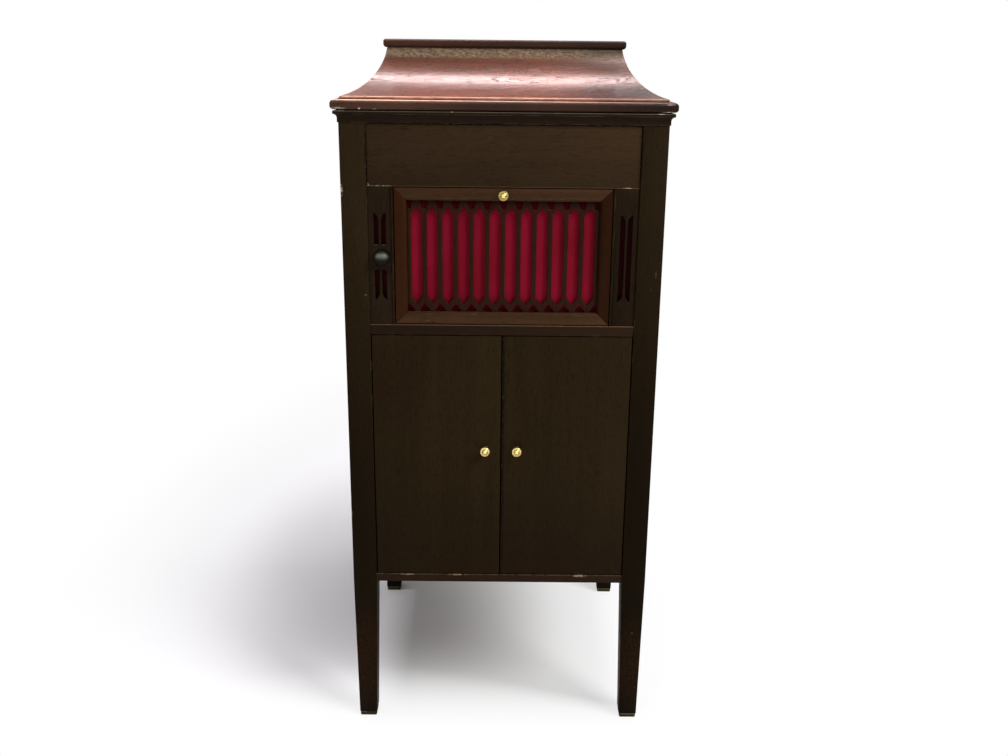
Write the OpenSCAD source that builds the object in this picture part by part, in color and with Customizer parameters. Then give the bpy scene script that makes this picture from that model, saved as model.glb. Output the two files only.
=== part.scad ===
// Floor-standing gramophone cabinet with a coved lid, a drop-front grille and two cupboard doors.
// Millimetres. +X to the viewer's right, +Y to the back, +Z up. The feet stand on z = 0, and the
// origin is under the middle of the whole object.

/* [Case] */
// Width of the case over the outside of its posts
case_w = 480; // [440:5:600]
// Depth of the case over the outside of its posts
case_d = 480; // [440:5:600]
// Height of the case's rim above the floor
case_h = 1012; // [960:1:1240]
// Length of the legs below the bottom rail
leg_h = 258.5; // [180:0.5:330]
// Side of a post's square section
post_s = 38.5; // [32:0.5:48]
// How much the outer faces of a leg come in at the foot
leg_taper_out = 3; // [0:0.5:6]
// How much the inner faces of a leg come in at the foot
leg_taper_in = 6.5; // [0:0.5:12]
// Height of the pad under each leg
pad_h = 8; // [4:1:14]
// Thickness of the side and back panels
panel_t = 12; // [8:1:18]
// How far the side panels lie behind the faces of the posts
panel_recess = 3; // [1:0.5:6]
// How far the back panel lies behind the faces of the rear posts
back_recess = 2; // [0:0.5:5]
// Thickness of the cupboard's floor and ceiling boards
board_t = 12; // [9:1:18]
// Thickness of the rails in the back
back_rail_t = 20; // [16:1:28]
// Height of the top rail in the back
back_rail_h = 92; // [85:1:120]
// Thickness of the two dividers in the cupboard
divider_t = 6; // [4:1:12]

/* [Front] */
// Height of the bottom rail
bottom_rail_h = 14; // [12:1:30]
// Height of the door opening
cupboard_h = 406.5; // [350:0.5:470]
// Height of the rail between the doors and the grille
mid_rail_h = 16; // [14:1:30]
// Height of the opening for the grille
grille_opening_h = 208.5; // [190:0.5:230]
// How far the rails and doors lie behind the faces of the posts
front_recess = 1; // [0:0.5:2]
// Further recess of the apron and the fretted stiles
apron_recess = 1.5; // [1:0.5:3]
// Thickness of the apron board
apron_t = 18; // [14:1:22]
// Projection of the rim moulding from the posts
moulding_out = 7; // [4:0.5:9]
// Height of the rim moulding
moulding_h = 17; // [12:1:24]

/* [Doors] */
// Thickness of a door
door_t = 18; // [14:1:22]
// Gap round each door
door_gap = 1.5; // [1:0.25:2.5]
// Distance of the pivot from the door's outer edge
pivot_in = 9; // [8:0.5:12]
// Distance of the pivot behind the door's front face
pivot_back = 4.5; // [4:0.25:5]
// Radius of the door's pivot pins
door_pin_r = 2.5; // [2:0.25:3]
// Depth of the pivot pins in a door or a rail
door_pin_l = 9; // [6:1:11]
// Distance of a door knob from the middle of the case
door_knob_x = 25; // [18:1:40]
// Radius of the brass knobs
knob_r = 8; // [6:0.5:11]
// Height of the door knobs above the foot of the doors
door_knob_up = 218.7; // [180:0.1:260]
// Projection of the knobs from the face of the doors and the grille
knob_out = 17; // [14:0.5:22]

/* [Grille] */
// Width of each fretted stile beside the grille
stile_w = 35.3; // [33:0.1:42]
// Thickness of the fretted stiles
stile_t = 10; // [8:1:12]
// Width of the bead between a stile and the grille
bead_w = 2.7; // [2:0.1:3.5]
// Gap round the grille
grille_gap = 1.4; // [1:0.1:2]
// Width of the grille frame's face
frame_face = 18.5; // [16:0.5:22]
// Thickness of the grille frame
frame_t = 16; // [15:1:20]
// Width of the bevel on the frame's inner edge
frame_bevel = 3; // [2:0.5:4]
// Depth from the frame's face to the fret
fret_recess = 5; // [4:0.5:8]
// Thickness of the fret
fret_t = 6; // [3:0.5:7]
// How far the fret and its cloth run into the rebate of the frame
rebate_w = 3; // [2:0.5:4]
// Number of tall slots in the fret
slot_n = 12; // [8:1:16]
// Plain width at each end of the fret, beside the slots
fret_margin = 2.5; // [2:0.5:6]
// Width of a tall slot as a share of the pitch
slot_share = 0.71; // [0.6:0.01:0.76]
// Height of the pointed end of a tall slot
slot_point = 10; // [5:0.5:11]
// Distance from the frame to the tip of a tall slot at the top
slot_top = 10.3; // [9:0.1:20]
// Distance from the frame to the tip of a tall slot at the bottom
slot_bottom = 11.4; // [10:0.1:18]
// Width of the small openings between the slots' tips as a share of the pitch
light_share = 0.55; // [0.45:0.01:0.6]
// Height of the small openings at the top
upper_light_h = 12.2; // [8:0.1:13]
// Width of the small gables at the bottom as a share of the pitch
gable_share = 0.7; // [0.5:0.01:0.74]
// Height of the straight part of the gables at the bottom
gable_foot = 1.5; // [1:0.5:3]
// Thickness of the cloth behind the frets
cloth_t = 0.8; // [0.5:0.1:1.2]
// Radius of the grille's pivot pins
grille_pin_r = 2; // [1.5:0.25:2.5]
// Width of a slot in the stiles
stile_slot_w = 7.4; // [4:0.1:8]
// Width of the bar between the two slots of a stile
stile_bar_w = 3.5; // [3:0.5:8]
// Height of a stile's slots over their points
stile_slot_h = 132.5; // [100:0.5:150]
// Height of the plain part round the volume knob
stile_boss_h = 38.5; // [34:0.5:50]
// How far a stile's slots sit above the middle of the opening
stile_slot_up = -0.5; // [-2:0.5:4]

/* [Volume knob] */
// Radius of the ball of the volume knob
volume_knob_r = 11.2; // [9:0.1:13]
// Radius of the volume knob's bush
volume_bush_r = 12.4; // [10:0.1:12.5]
// Distance of the volume knob from the middle of its stile, towards the grille
volume_knob_in = 2.7; // [2:0.1:5]
// Distance of the volume knob below the middle of its stile's slots
volume_knob_down = 0.8; // [0:0.1:3]
// Radius of the volume shaft
volume_shaft_r = 3; // [2:0.5:4]
// Length of the mute flap's arm, from the shaft to the flap's end
mute_l = 88; // [60:1:95]
// Width of the mute flap
mute_w = 38; // [30:1:40]

/* [Lid] */
// Overhang of the lid at the front and the sides
lid_over = 10; // [9.5:0.5:14]
// Gap between the lid and the rim
lid_gap = 1.5; // [0.6:0.1:2]
// Thickness of the lid's base frame
lid_base_t = 14; // [12:0.5:18]
// Gap between the lid stay and the rear post beside it
stay_gap = 1.5; // [1:0.1:3]
// Distance from the edge of the base frame to the foot of the cove
cove_set = 12; // [11:0.5:16]
// Width and height of the cove
cove_s = 63.4; // [50:0.2:70]
// Radius of the cove
cove_r = 85; // [60:1:120]
// Height of the square edge at the foot of the cove
cove_foot = 4; // [2:0.5:6]
// Height of the square edge at the head of the cove
cove_head = 4.6; // [2:0.2:8]
// Least thickness of the cove boards
cove_t = 9; // [7:0.5:9.5]
// Overhang of the top board over the head of the cove
slab_over = 4.2; // [3:0.1:8]
// Thickness of the lid's top board
slab_t = 12; // [9:0.5:16]
// Thickness of the lid's back board
lid_back_t = 12; // [9:1:16]
// Radius of the barrel of the lid's hinges
hinge_r = 4.5; // [4:0.25:6]
// Radius of the lid's hinge pins
hinge_pin_r = 2; // [1.5:0.25:2.5]
// Length of a lid hinge
hinge_l = 60; // [40:5:90]
// Distance of a lid hinge from the middle of the case
hinge_x = 140; // [110:5:160]
// Radius of the lid stay's arc
stay_r = 150; // [130:5:170]
// Width of the lid stay
stay_w = 10; // [8:1:14]
// Thickness of the lid stay
stay_t = 3; // [2:0.5:4]
// Angle to which the lid opens
lid_open = 68; // [50:1:72]

/* [Motor board] */
// Depth of the motor board's top below the rim
motor_board_down = 60; // [50:1:70]
// Thickness of the motor board
motor_board_t = 12; // [9:1:15]
// Radius of the turntable
turntable_r = 152; // [125:1:155]
// Place of the turntable's spindle, right of the middle
spindle_x = -20; // [-30:1:-10]
// Place of the turntable's spindle, behind the middle of the case
spindle_y = -16; // [-25:1:-5]
// Radius of the spindle
spindle_r = 4; // [3:0.5:5]
// Place of the tone arm's pillar, right of the middle
pillar_x = 165; // [150:1:170]
// Place of the tone arm's pillar, behind the middle of the case
pillar_y = 156; // [140:1:160]
// Radius of the tone arm at its pillar end
arm_r = 13; // [10:0.5:15]
// Length of the tone arm, from its pillar to the needle
arm_l = 235; // [220:1:245]
// Radius of the sound box
sound_box_r = 29; // [24:1:32]
// Lean of the needle from upright
needle_lean = 25; // [10:1:35]
// Radius of the needle bowls
bowl_r = 17; // [14:1:18]
// Depth of the needle bowls
bowl_d = 13; // [10:1:16]
// Length of the brake lever, from its pivot to its pad
brake_l = 60; // [45:1:65]
// Length of the speed lever
speed_l = 34; // [24:1:36]

/* [Motor] */
// Distance between the cheeks of the motor frame
motor_w = 96; // [80:1:104]
// Height of the motor frame
motor_h = 82; // [80:1:88]
// Thickness of the motor frame's cheeks and top plate
plate_t = 3; // [2:0.5:4]
// Radius of the spring barrel
barrel_r = 33; // [24:1:34]
// Radius of the winding shaft
winder_r = 6; // [5:0.5:7]
// Teeth of the winding pinion
pinion_n = 12; // [10:1:16]
// Teeth of the arbor wheel
wheel_n = 32; // [24:1:36]
// Thickness of the pinion and the arbor wheel
wheel_t = 6; // [4:0.5:8]
// Gear module
gear_m = 1.5; // [1:0.25:1.75]
// Radius of the socket that takes the winding handle
socket_r = 4.2; // [3.5:0.1:4.5]
// Depth of the socket that takes the winding handle
socket_l = 22; // [15:1:30]

/* [Horn] */
// Thickness of the horn's boards
horn_t = 8; // [6:1:10]
// Thickness of the frame round the horn's mouth
mouth_frame_t = 10; // [8:1:14]
// Height of the mouth's lower edge above the mid rail
mouth_up = 22; // [18:1:40]
// Distance of the mouth's upper edge below the apron
mouth_down = 16; // [12:1:30]
// Side of the horn's square throat
throat_s = 50; // [40:1:56]
// Height of the throat's middle above the horn's floor
throat_up = 25; // [24:1:40]
// Inner radius of the elbow that joins the horn to the tone arm
elbow_r = 17; // [14:1:19]
// Wall of the elbow
elbow_t = 4; // [3:0.5:5]

/* [Fits] */
// Radial clearance of a pin or shaft that turns in its hole
run = 0.05; // [0.02:0.01:0.08]
// Gap between parts that move past each other
clear = 0.3; // [0.3:0.05:0.6]
// Width of the glue line in a corner joint
joint = 0.1; // [0.05:0.05:0.2]

/* [Hidden] */
$fn = 64;
eps = 0.01;
far = 2000;
WOOD = "#3a281a";
DARK = "#2b2118";
FRET = "#33150f";
CLOTH = "#7a1220";
BRASS = "#c9a040";
STEEL = "#8d9094";
IRON = "#3c3f42";

// The case's planes
rear_out = 2 * hinge_r + clear;
front_y = -(case_d + rear_out + front_recess - knob_out) / 2;
back_y = front_y + case_d;
mid_y = (front_y + back_y) / 2;
in_x = case_w / 2 - post_s;
side_out = case_w / 2 - panel_recess;
side_in = side_out - panel_t;
post_y = front_y + post_s;
rear_post_y = back_y - post_s;
rail_y = front_y + front_recess;
apron_y = rail_y + apron_recess;
back_panel_y = back_y - back_recess - panel_t;
back_rail_y = back_y - back_rail_t;

// Heights
cupboard_z = leg_h + bottom_rail_h;
mid_rail_z = cupboard_h + cupboard_z;
grille_z = mid_rail_z + mid_rail_h;
apron_z = grille_z + grille_opening_h;
moulding_z = case_h - moulding_h;
board_top = case_h - motor_board_down;
board_z = board_top - motor_board_t;
lid_z = case_h + lid_gap;

// Lid
lid_x = case_w / 2 + lid_over;
lid_y = front_y - lid_over;
lid_base_w = lid_x - in_x + stay_gap;
cove_z = lid_z + lid_base_t;
cove_h = cove_foot + cove_s + cove_head;
slab_z = cove_z + cove_h;
chord = cove_s * sqrt(2);
cove_sag = cove_r - sqrt(pow(cove_r, 2) - pow(chord / 2, 2));
cove_centre = cove_s / 2 - (cove_r - cove_sag) / sqrt(2);
cove_skew = (cove_sag + cove_t) * sqrt(2);
cove_top_u = cove_set + cove_s;
cove_in_u = cove_top_u + 12;
cove_foot_u = cove_set - cove_foot + cove_skew;
cove_in_h = cove_foot + cove_in_u - cove_set - cove_skew;
slab_u = cove_top_u - slab_over;
hinge_y = back_y + hinge_r + clear;
hinge_z = case_h + lid_gap / 2;
leaf_t = 2;
leaf_gap = clear / 2;
leaf_w = 22;
knuckles = 5;
knuckle_l = hinge_l / knuckles;
stay_x = stay_gap - in_x;
stay_stop = lid_open + 7;
stay_end = stay_stop + 3;
keeper_h = 6;
keeper_z = case_h - 14;
keeper_w = 24;
slot_play = 0.6;
stop_l = 5;

// Cupboard
divider_x = side_in / 3;
catch_w = 18;

// Doors
door_w = in_x - door_gap - door_gap / 2;
door_z = cupboard_z + door_gap;
door_h = cupboard_h - 2 * door_gap;
door_knob_z = door_z + door_knob_up;
pivot_x = in_x - door_gap - pivot_in;
pivot_y = rail_y + pivot_back;

// Grille
stile_x = in_x - stile_w;
bead_x = stile_x - bead_w;
grille_x = bead_x - grille_gap;
grille_frame_z = grille_z + grille_gap;
grille_h = grille_opening_h - 2 * grille_gap;
fret_y = rail_y + fret_recess;
fret_x = grille_x - frame_face;
fret_z = grille_frame_z + frame_face;
fret_h = grille_h - 2 * frame_face;
slot_pitch = 2 * (fret_x - fret_margin) / slot_n;
slot_w = slot_pitch * slot_share;
grille_pivot_y = rail_y + pivot_back;
grille_pivot_z = grille_frame_z + pivot_in;
grille_pin_in = 11;
grille_pin_out = 12;
stile_mid = stile_x + stile_w / 2;
stile_slot_z = grille_z + (grille_opening_h - stile_slot_h) / 2 + stile_slot_up;
knob_x = volume_knob_in - stile_mid;
knob_z = stile_slot_z + stile_slot_h / 2 - volume_knob_down;
mute_y = post_y - 12;
mute_t = 4;

// Horn
mouth_y = post_y + 0.5;
horn_y = mouth_y + mouth_frame_t;
mouth_x = fret_x + 0.6;
mouth_z = grille_z + mouth_up;
mouth_top = apron_z - mouth_down;
elbow_bend = 38;
elbow_out = elbow_r + elbow_t;
elbow_y = pillar_y + mid_y;
elbow_flange_t = 4;
elbow_run = 4;
throat_y = elbow_y - elbow_bend - elbow_run - elbow_flange_t;
throat_z = mouth_z + throat_up;
throat_top = mouth_z + throat_s;

// Turntable and tone arm
sp_y = spindle_y + mid_y;
platter_z = board_top + 9;
platter_t = 12;
felt_t = 1.5;
felt_z = platter_z + platter_t;
record_t = 2;
needle_z = felt_z + felt_t + record_t;
arm_z = needle_z + sound_box_r + 11;
arm_ball_r = arm_r + 4;
arm_end_r = 9;
arm_end_y = elbow_y - arm_l;
arm_stub_r = 5;
stub_gap = 5;
stub_in = 7;
stub_l = stub_gap + stub_in;
sound_box_t = 13;
sound_box_x = pillar_x - arm_end_r - stub_gap - sound_box_t;

// Levers and bowls on the motor board
function rim_point(angle, d) =
    [spindle_x + (turntable_r + d) * cos(angle), sp_y + (turntable_r + d) * sin(angle)];
brake_angle = -35;
brake_pad_r = 4;
brake_touch = rim_point(brake_angle, brake_pad_r + 0.5);
brake_pivot = [brake_touch[0] + brake_l * sin(brake_angle), brake_touch[1] - brake_l * cos(brake_angle)];
speed_pivot = [side_in - 60, post_y + 34];
lever_pin_r = 2;
lever_pin_l = 8;
bowl_places = [[-(side_in - 37), post_y + 25], [-(side_in - 84), post_y + 18]];

// Motor
motor_top = board_z - plate_t;
motor_z = board_z - motor_h;
worm_r = 5;
barrel_gear_r = barrel_r + 3.7;
barrel_y = sp_y + worm_r + clear + barrel_gear_r;
barrel_z = motor_top - barrel_r - 6;
arbor_r = 5;
governor_r = 2;
gear_distance = gear_m * (pinion_n + wheel_n) / 2;
winder_y = barrel_y - gear_distance;
governor_z = motor_z + 11;
governor_wheel_r = 15;
governor_worm_r = 4;
governor_y = sp_y - governor_wheel_r - governor_worm_r - clear;
cheek_l = sp_y - 40;
cheek_r = barrel_y + barrel_r;
cheek_x = motor_w / 2;
socket_end = side_out + plate_t;

// ---- Shared shapes ----

// A box from two opposite corners
module block(low, high) {
    translate(low) cube([high[0] - low[0], high[1] - low[1], high[2] - low[2]]);
}

// Copies its children to the left and the right
module both_sides() {
    children();
    mirror([1, 0, 0]) children();
}

// A round bar along +X, +Y or +Z from a start point
module bar_x(at, r, l) { translate(at) rotate([0, 90, 0]) cylinder(r = r, h = l); }
module bar_y(at, r, l) { translate(at) rotate([-90, 0, 0]) cylinder(r = r, h = l); }
module bar_z(at, r, l) { translate(at) cylinder(r = r, h = l); }

// What is cut from the corner of a square edge to round it to radius r
module corner_cut(r) {
    difference() {
        translate([-1, -1]) square(r + 1);
        translate([r, r]) circle(r);
    }
}

// The section of a board whose edge at x = 0 is rounded below and above
module rounded_edge(w, t, r_low, r_high) {
    difference() {
        square([w, t]);
        corner_cut(r_low);
        translate([0, t]) mirror([0, 1]) corner_cut(r_high);
    }
}

// A section whose x runs inwards and y upwards, swept along the front, the right or the left side
module sweep_front(y) {
    translate([-far / 2, y, 0]) rotate([90, 0, 90]) linear_extrude(far) children();
}
module sweep_right(x) {
    translate([x, -far / 2, 0]) rotate([90, 0, 180]) linear_extrude(far) children();
}

// Mitred pieces round the front and both sides, all of one section of width w
module three_sides(x, y, w, z, h) {
    intersection() {
        sweep_front(y) children();
        translate([0, 0, z]) linear_extrude(h)
            polygon([[joint - x, y], [x - joint, y], [x - w - joint, y + w], [w + joint - x, y + w]]);
    }
    both_sides() intersection() {
        sweep_right(x) children();
        translate([0, 0, z]) linear_extrude(h)
            polygon([[x, y], [x, back_y], [x - w, back_y], [x - w, y + w]]);
    }
}

// Four mitred bars round a rectangle that stands in the X-Z plane, face to the front
module upright_frame(half_w, half_h, face, depth) {
    for (side = [[0, half_w, half_h], [180, half_w, half_h], [90, half_h, half_w], [-90, half_h, half_w]])
        rotate([0, side[0], 0]) translate([-side[1], 0, 0]) intersection() {
            translate([0, 0, -side[2]]) linear_extrude(2 * side[2]) children();
            rotate([90, 0, 0]) translate([0, 0, -depth]) linear_extrude(2 * depth)
                polygon([[0, joint - side[2]], [0, side[2] - joint], [face, side[2] - face - joint],
                    [face, face + joint - side[2]]]);
        }
}

// A turned brass knob on a face, pointing to the front: a base, a waist and a domed head
module brass_knob(x, y, z) {
    waist_r = knob_r * 0.45;
    base_t = 2.5;
    rim_t = 3;
    dome_h = 4;
    head_z = knob_out - dome_h - rim_t;
    dome_r = (knob_r * knob_r + dome_h * dome_h) / (2 * dome_h);
    translate([x, y, z]) rotate([90, 0, 0]) {
        cylinder(r = knob_r, h = base_t);
        cylinder(r = waist_r, h = head_z + 2);
        translate([0, 0, base_t]) cylinder(r1 = knob_r * 0.75, r2 = waist_r, h = 3);
        translate([0, 0, head_z - 4.5]) cylinder(r1 = waist_r, r2 = knob_r, h = 4.5);
        translate([0, 0, head_z]) cylinder(r = knob_r, h = rim_t);
        translate([0, 0, head_z + rim_t]) intersection() {
            cylinder(r = knob_r, h = dome_h);
            translate([0, 0, dome_h - dome_r]) sphere(dome_r);
        }
    }
}

// A spur wheel with n thin teeth, standing on z = 0
module spur_wheel(n, t, bore) {
    root = gear_m * (n / 2 - 1.1);
    tip = gear_m * (n / 2 + 0.8);
    step = 360 / n;
    linear_extrude(t) difference() {
        polygon([for (i = [0 : n - 1], k = [[-0.27, root], [-0.1, tip], [0.1, tip], [0.27, root]])
            [k[1] * cos((i + k[0]) * step), k[1] * sin((i + k[0]) * step)]]);
        circle(bore);
    }
}

// Half of a pointed arch on top of a slot of width w; the point lies at x = w
module half_arch(w, l, r) {
    square([w, l]);
    intersection() {
        translate([0, l - eps]) square([w, r]);
        translate([r, l]) circle(r);
    }
}

// ---- Case ----

// A post whose lower end tapers; it stands in the corner at +X and the front
module post() {
    x = case_w / 2;
    intersection() {
        block([x - post_s, front_y, pad_h], [x, front_y + post_s, case_h]);
        translate([0, far / 2, 0]) rotate([90, 0, 0]) linear_extrude(far) polygon([
            [x - leg_taper_out, 0], [x, leg_h], [x, case_h], [x - post_s, case_h],
            [x - post_s, leg_h], [x - post_s + leg_taper_in, 0]]);
        translate([-far / 2, 0, 0]) rotate([90, 0, 90]) linear_extrude(far) polygon([
            [front_y + leg_taper_out, 0], [front_y, leg_h], [front_y, case_h],
            [front_y + post_s, case_h], [front_y + post_s, leg_h],
            [front_y + post_s - leg_taper_in, 0]]);
    }
}

module grille_pin_hole() {
    bar_x([stile_x - eps, grille_pivot_y, grille_pivot_z], grille_pin_r + run, grille_pin_out + eps);
}

module front_posts() {
    color(WOOD) both_sides() post();
}

module rear_posts() {
    color(WOOD) both_sides() translate([0, 2 * mid_y, 0]) mirror([0, 1, 0]) post();
}

module foot_pads() {
    x = case_w / 2;
    color(DARK) both_sides() for (side = [0, 1])
        translate([0, side * 2 * mid_y, 0]) mirror([0, side, 0])
            block([x - post_s + leg_taper_in + 0.5, front_y + leg_taper_out + 0.5, 0],
                [x - leg_taper_out - 0.5, front_y + post_s - leg_taper_in - 0.5, pad_h]);
}

module side_panels() {
    color(WOOD) difference() {
        both_sides() block([side_in, post_y, leg_h], [side_out, rear_post_y, case_h]);
        bar_x([side_in - 1, winder_y, barrel_z], winder_r + 3, panel_t + 2);
    }
}

module back_panel() {
    color(DARK) block([-in_x, back_panel_y, leg_h], [in_x, back_panel_y + panel_t, case_h - back_rail_h]);
}

// The plate of a lid hinge and the tabs that reach its barrel, lying on z = 0 with the pin at y = 0
module leaf(own) {
    for (i = [0 : knuckles - 1])
        if (i % 2 == own)
            translate([i * knuckle_l - hinge_l / 2 + 0.2, 0, 0]) difference() {
                union() {
                    bar_x([0, 0, 0], hinge_r, knuckle_l - 0.4);
                    translate([0, -hinge_r - 2 * clear, 0])
                        block([0, 0, leaf_gap], [knuckle_l - 0.4, hinge_r, leaf_gap + leaf_t]);
                }
                bar_x([-1, 0, 0], hinge_pin_r + run, knuckle_l + 2);
            }
    block([-hinge_l / 2, -hinge_r - clear - leaf_w, leaf_gap],
        [hinge_l / 2, -hinge_r - 2 * clear, leaf_gap + leaf_t]);
}

// The pocket that a leaf lies in
module leaf_pocket() {
    block([-hinge_l / 2, -hinge_r - clear - leaf_w, leaf_gap - 2],
        [hinge_l / 2, hinge_r, leaf_gap + leaf_t]);
}

module at_lid_hinges() {
    for (x = [-hinge_x, hinge_x]) translate([x, hinge_y, hinge_z]) children();
}

module back_top_rail() {
    color(WOOD) difference() {
        block([-in_x, back_rail_y, case_h - back_rail_h], [in_x, back_y, case_h]);
        at_lid_hinges() mirror([0, 0, 1]) leaf_pocket();
    }
}

module apron() {
    color(WOOD) block([-in_x, apron_y, apron_z], [in_x, apron_y + apron_t, case_h]);
}

module moulding_section() {
    cove = moulding_out - 1.5;
    translate([0, moulding_z]) difference() {
        square([moulding_out, moulding_h]);
        translate([-1, -1]) square([cove + 1, moulding_h - 4 - cove]);
        translate([0, moulding_h - 5 - cove]) circle(cove);
        translate([0, moulding_h]) mirror([0, 1]) corner_cut(1.5);
    }
}

module rim_moulding() {
    color(WOOD) three_sides(case_w / 2 + moulding_out, front_y - moulding_out, moulding_out,
        moulding_z - 1, moulding_h + 2) moulding_section();
}

module door_pin_holes(z) {
    both_sides() bar_z([pivot_x, pivot_y, z], door_pin_r + run, door_pin_l);
}

module mid_rail() {
    color(WOOD) difference() {
        block([-in_x, rail_y, mid_rail_z], [in_x, post_y, grille_z]);
        door_pin_holes(mid_rail_z - eps);
    }
}

module bottom_rail() {
    color(WOOD) difference() {
        block([-in_x, rail_y, leg_h], [in_x, post_y, cupboard_z]);
        door_pin_holes(cupboard_z - door_pin_l + eps);
    }
}

// A board of the cupboard; it fits between the posts, the side panels and the back
module shelf_board(z) {
    translate([0, 0, z]) linear_extrude(board_t) union() {
        translate([-side_in, post_y]) square([2 * side_in, rear_post_y - post_y]);
        translate([-in_x, rear_post_y - eps]) square([2 * in_x, back_panel_y - rear_post_y + eps]);
    }
}

module shelf_boards() {
    color(WOOD) {
        shelf_board(cupboard_z - board_t);
        shelf_board(grille_z - board_t);
    }
}

module record_dividers() {
    color(DARK) both_sides()
        block([divider_x - divider_t / 2, post_y + 6, cupboard_z],
            [divider_x + divider_t / 2, back_panel_y, grille_z - board_t]);
}

module door_pivot_pins() {
    color(BRASS) both_sides()
        for (z = [cupboard_z - door_pin_l + 1, mid_rail_z - door_gap - door_pin_l + 1])
            bar_z([pivot_x, pivot_y, z], door_pin_r, 2 * door_pin_l + door_gap - 2);
}

module door_catches() {
    color(BRASS) both_sides()
        block([door_gap + 4, rail_y + door_t + clear, mid_rail_z - 9],
            [door_gap + 4 + catch_w, post_y - 2, mid_rail_z]);
}

// ---- Doors ----

// The right door
module door() {
    difference() {
        block([door_gap / 2, rail_y, door_z], [door_gap / 2 + door_w, rail_y + door_t, door_z + door_h]);
        for (z = [door_z - eps, door_z + door_h - door_pin_l + eps])
            bar_z([pivot_x, pivot_y, z], door_pin_r + run, door_pin_l);
    }
}

module left_door() { color(WOOD) mirror([1, 0, 0]) door(); }
module right_door() { color(WOOD) door(); }
module left_door_knob() { color(BRASS) brass_knob(-door_knob_x, rail_y, door_knob_z); }
module right_door_knob() { color(BRASS) brass_knob(door_knob_x, rail_y, door_knob_z); }

// ---- Stiles beside the grille ----

// A pair of slots between two heights; an end is pointed where its flag is 1
module slot_pair(z_low, z_high, point_low, point_high) {
    arch_r = 15;
    rise = sqrt(pow(arch_r, 2) - pow(arch_r - stile_slot_w, 2));
    z0 = z_low + point_low * rise;
    z1 = z_high - point_high * rise;
    zm = (z0 + z1) / 2;
    translate([stile_mid, apron_y - 1, 0]) rotate([90, 0, 0]) mirror([0, 0, 1]) linear_extrude(stile_t + 2)
        for (side = [0, 1]) mirror([side, 0]) translate([stile_bar_w / 2, zm]) {
            if (point_high == 1) half_arch(stile_slot_w, z1 - zm, arch_r);
            else square([stile_slot_w, z1 - zm]);
            mirror([0, 1]) if (point_low == 1) half_arch(stile_slot_w, zm - z0, arch_r);
            else square([stile_slot_w, zm - z0]);
        }
}

module stile_blank() {
    difference() {
        block([stile_x, apron_y, grille_z], [in_x, apron_y + stile_t, apron_z]);
        grille_pin_hole();
    }
}

module right_fret_stile() {
    color(WOOD) difference() {
        stile_blank();
        slot_pair(stile_slot_z, stile_slot_z + stile_slot_h, 1, 1);
    }
}

module left_fret_stile() {
    color(WOOD) difference() {
        mirror([1, 0, 0]) difference() {
            stile_blank();
            slot_pair(stile_slot_z, knob_z - stile_boss_h / 2, 1, 0);
            slot_pair(knob_z + stile_boss_h / 2, stile_slot_z + stile_slot_h, 0, 1);
        }
        bar_y([knob_x, apron_y - 1, knob_z], volume_shaft_r + 3, stile_t + 2);
    }
}

module cock_beads() {
    color(WOOD) both_sides() difference() {
        block([bead_x, rail_y - 0.5, grille_z], [stile_x, apron_y + stile_t, apron_z]);
        bar_x([bead_x - 1, grille_pivot_y, grille_pivot_z], grille_pin_r + run, bead_w + 2);
    }
}

module stile_cloths() {
    y = apron_y + stile_t;
    color(CLOTH) difference() {
        both_sides() block([stile_x + 2, y, grille_z + 4], [in_x - 0.5, y + cloth_t, apron_z - 4]);
        bar_y([knob_x, y - 1, knob_z], volume_shaft_r + 4, 3);
    }
}

// ---- Grille ----

module frame_section() {
    difference() {
        polygon([[0, 0], [frame_face - frame_bevel, 0], [frame_face, frame_bevel],
            [frame_face, fret_recess], [frame_face - rebate_w, fret_recess],
            [frame_face - rebate_w, frame_t], [0, frame_t]]);
        corner_cut(1);
    }
}

module grille_frame() {
    color(WOOD) difference() {
        translate([0, rail_y, grille_frame_z + grille_h / 2])
            upright_frame(grille_x, grille_h / 2, frame_face, frame_t + 2) frame_section();
        both_sides() bar_x([grille_x - grille_pin_in, grille_pivot_y, grille_pivot_z],
            grille_pin_r + run, grille_pin_in + 1);
    }
}

// A tall slot with pointed ends, centred on x = 0
module tall_slot() {
    low = fret_z + slot_bottom;
    high = fret_z + fret_h - slot_top;
    half = slot_w / 2;
    polygon([[-half, low + slot_point], [0, low], [half, low + slot_point],
        [half, high - slot_point], [0, high], [-half, high - slot_point]]);
}

// The small opening above a bar: it narrows downwards between two gables
module upper_light() {
    half = slot_pitch * light_share / 2;
    top = fret_z + fret_h + 1;
    low = top - upper_light_h - 1;
    polygon([[-half, top], [-half * 0.6, low], [half * 0.6, low], [half, top]]);
}

// The small opening below a bar: a gable on the frame, as high as the slots' lower tips
module lower_light() {
    half = slot_pitch * gable_share / 2;
    foot = fret_z + gable_foot;
    top = fret_z + slot_bottom;
    polygon([[-half, fret_z - 1], [half, fret_z - 1], [half, foot], [1.2, top], [-1.2, top], [-half, foot]]);
}

module grille_fret() {
    half = slot_n * slot_pitch / 2;
    color(FRET) difference() {
        block([-fret_x - rebate_w + 0.2, fret_y, fret_z - rebate_w + 0.2],
            [fret_x + rebate_w - 0.2, fret_y + fret_t, fret_z + fret_h + rebate_w - 0.2]);
        translate([0, fret_y - 1, 0]) rotate([90, 0, 0]) mirror([0, 0, 1]) linear_extrude(fret_t + 2) {
            for (i = [0 : slot_n - 1]) translate([(i + 0.5) * slot_pitch - half, 0]) tall_slot();
            for (i = [0 : slot_n]) intersection() {
                translate([i * slot_pitch - half, 0]) {
                    upper_light();
                    lower_light();
                }
                translate([-fret_x - 1, 0]) square([2 * fret_x + 2, far]);
            }
        }
    }
}

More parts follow.
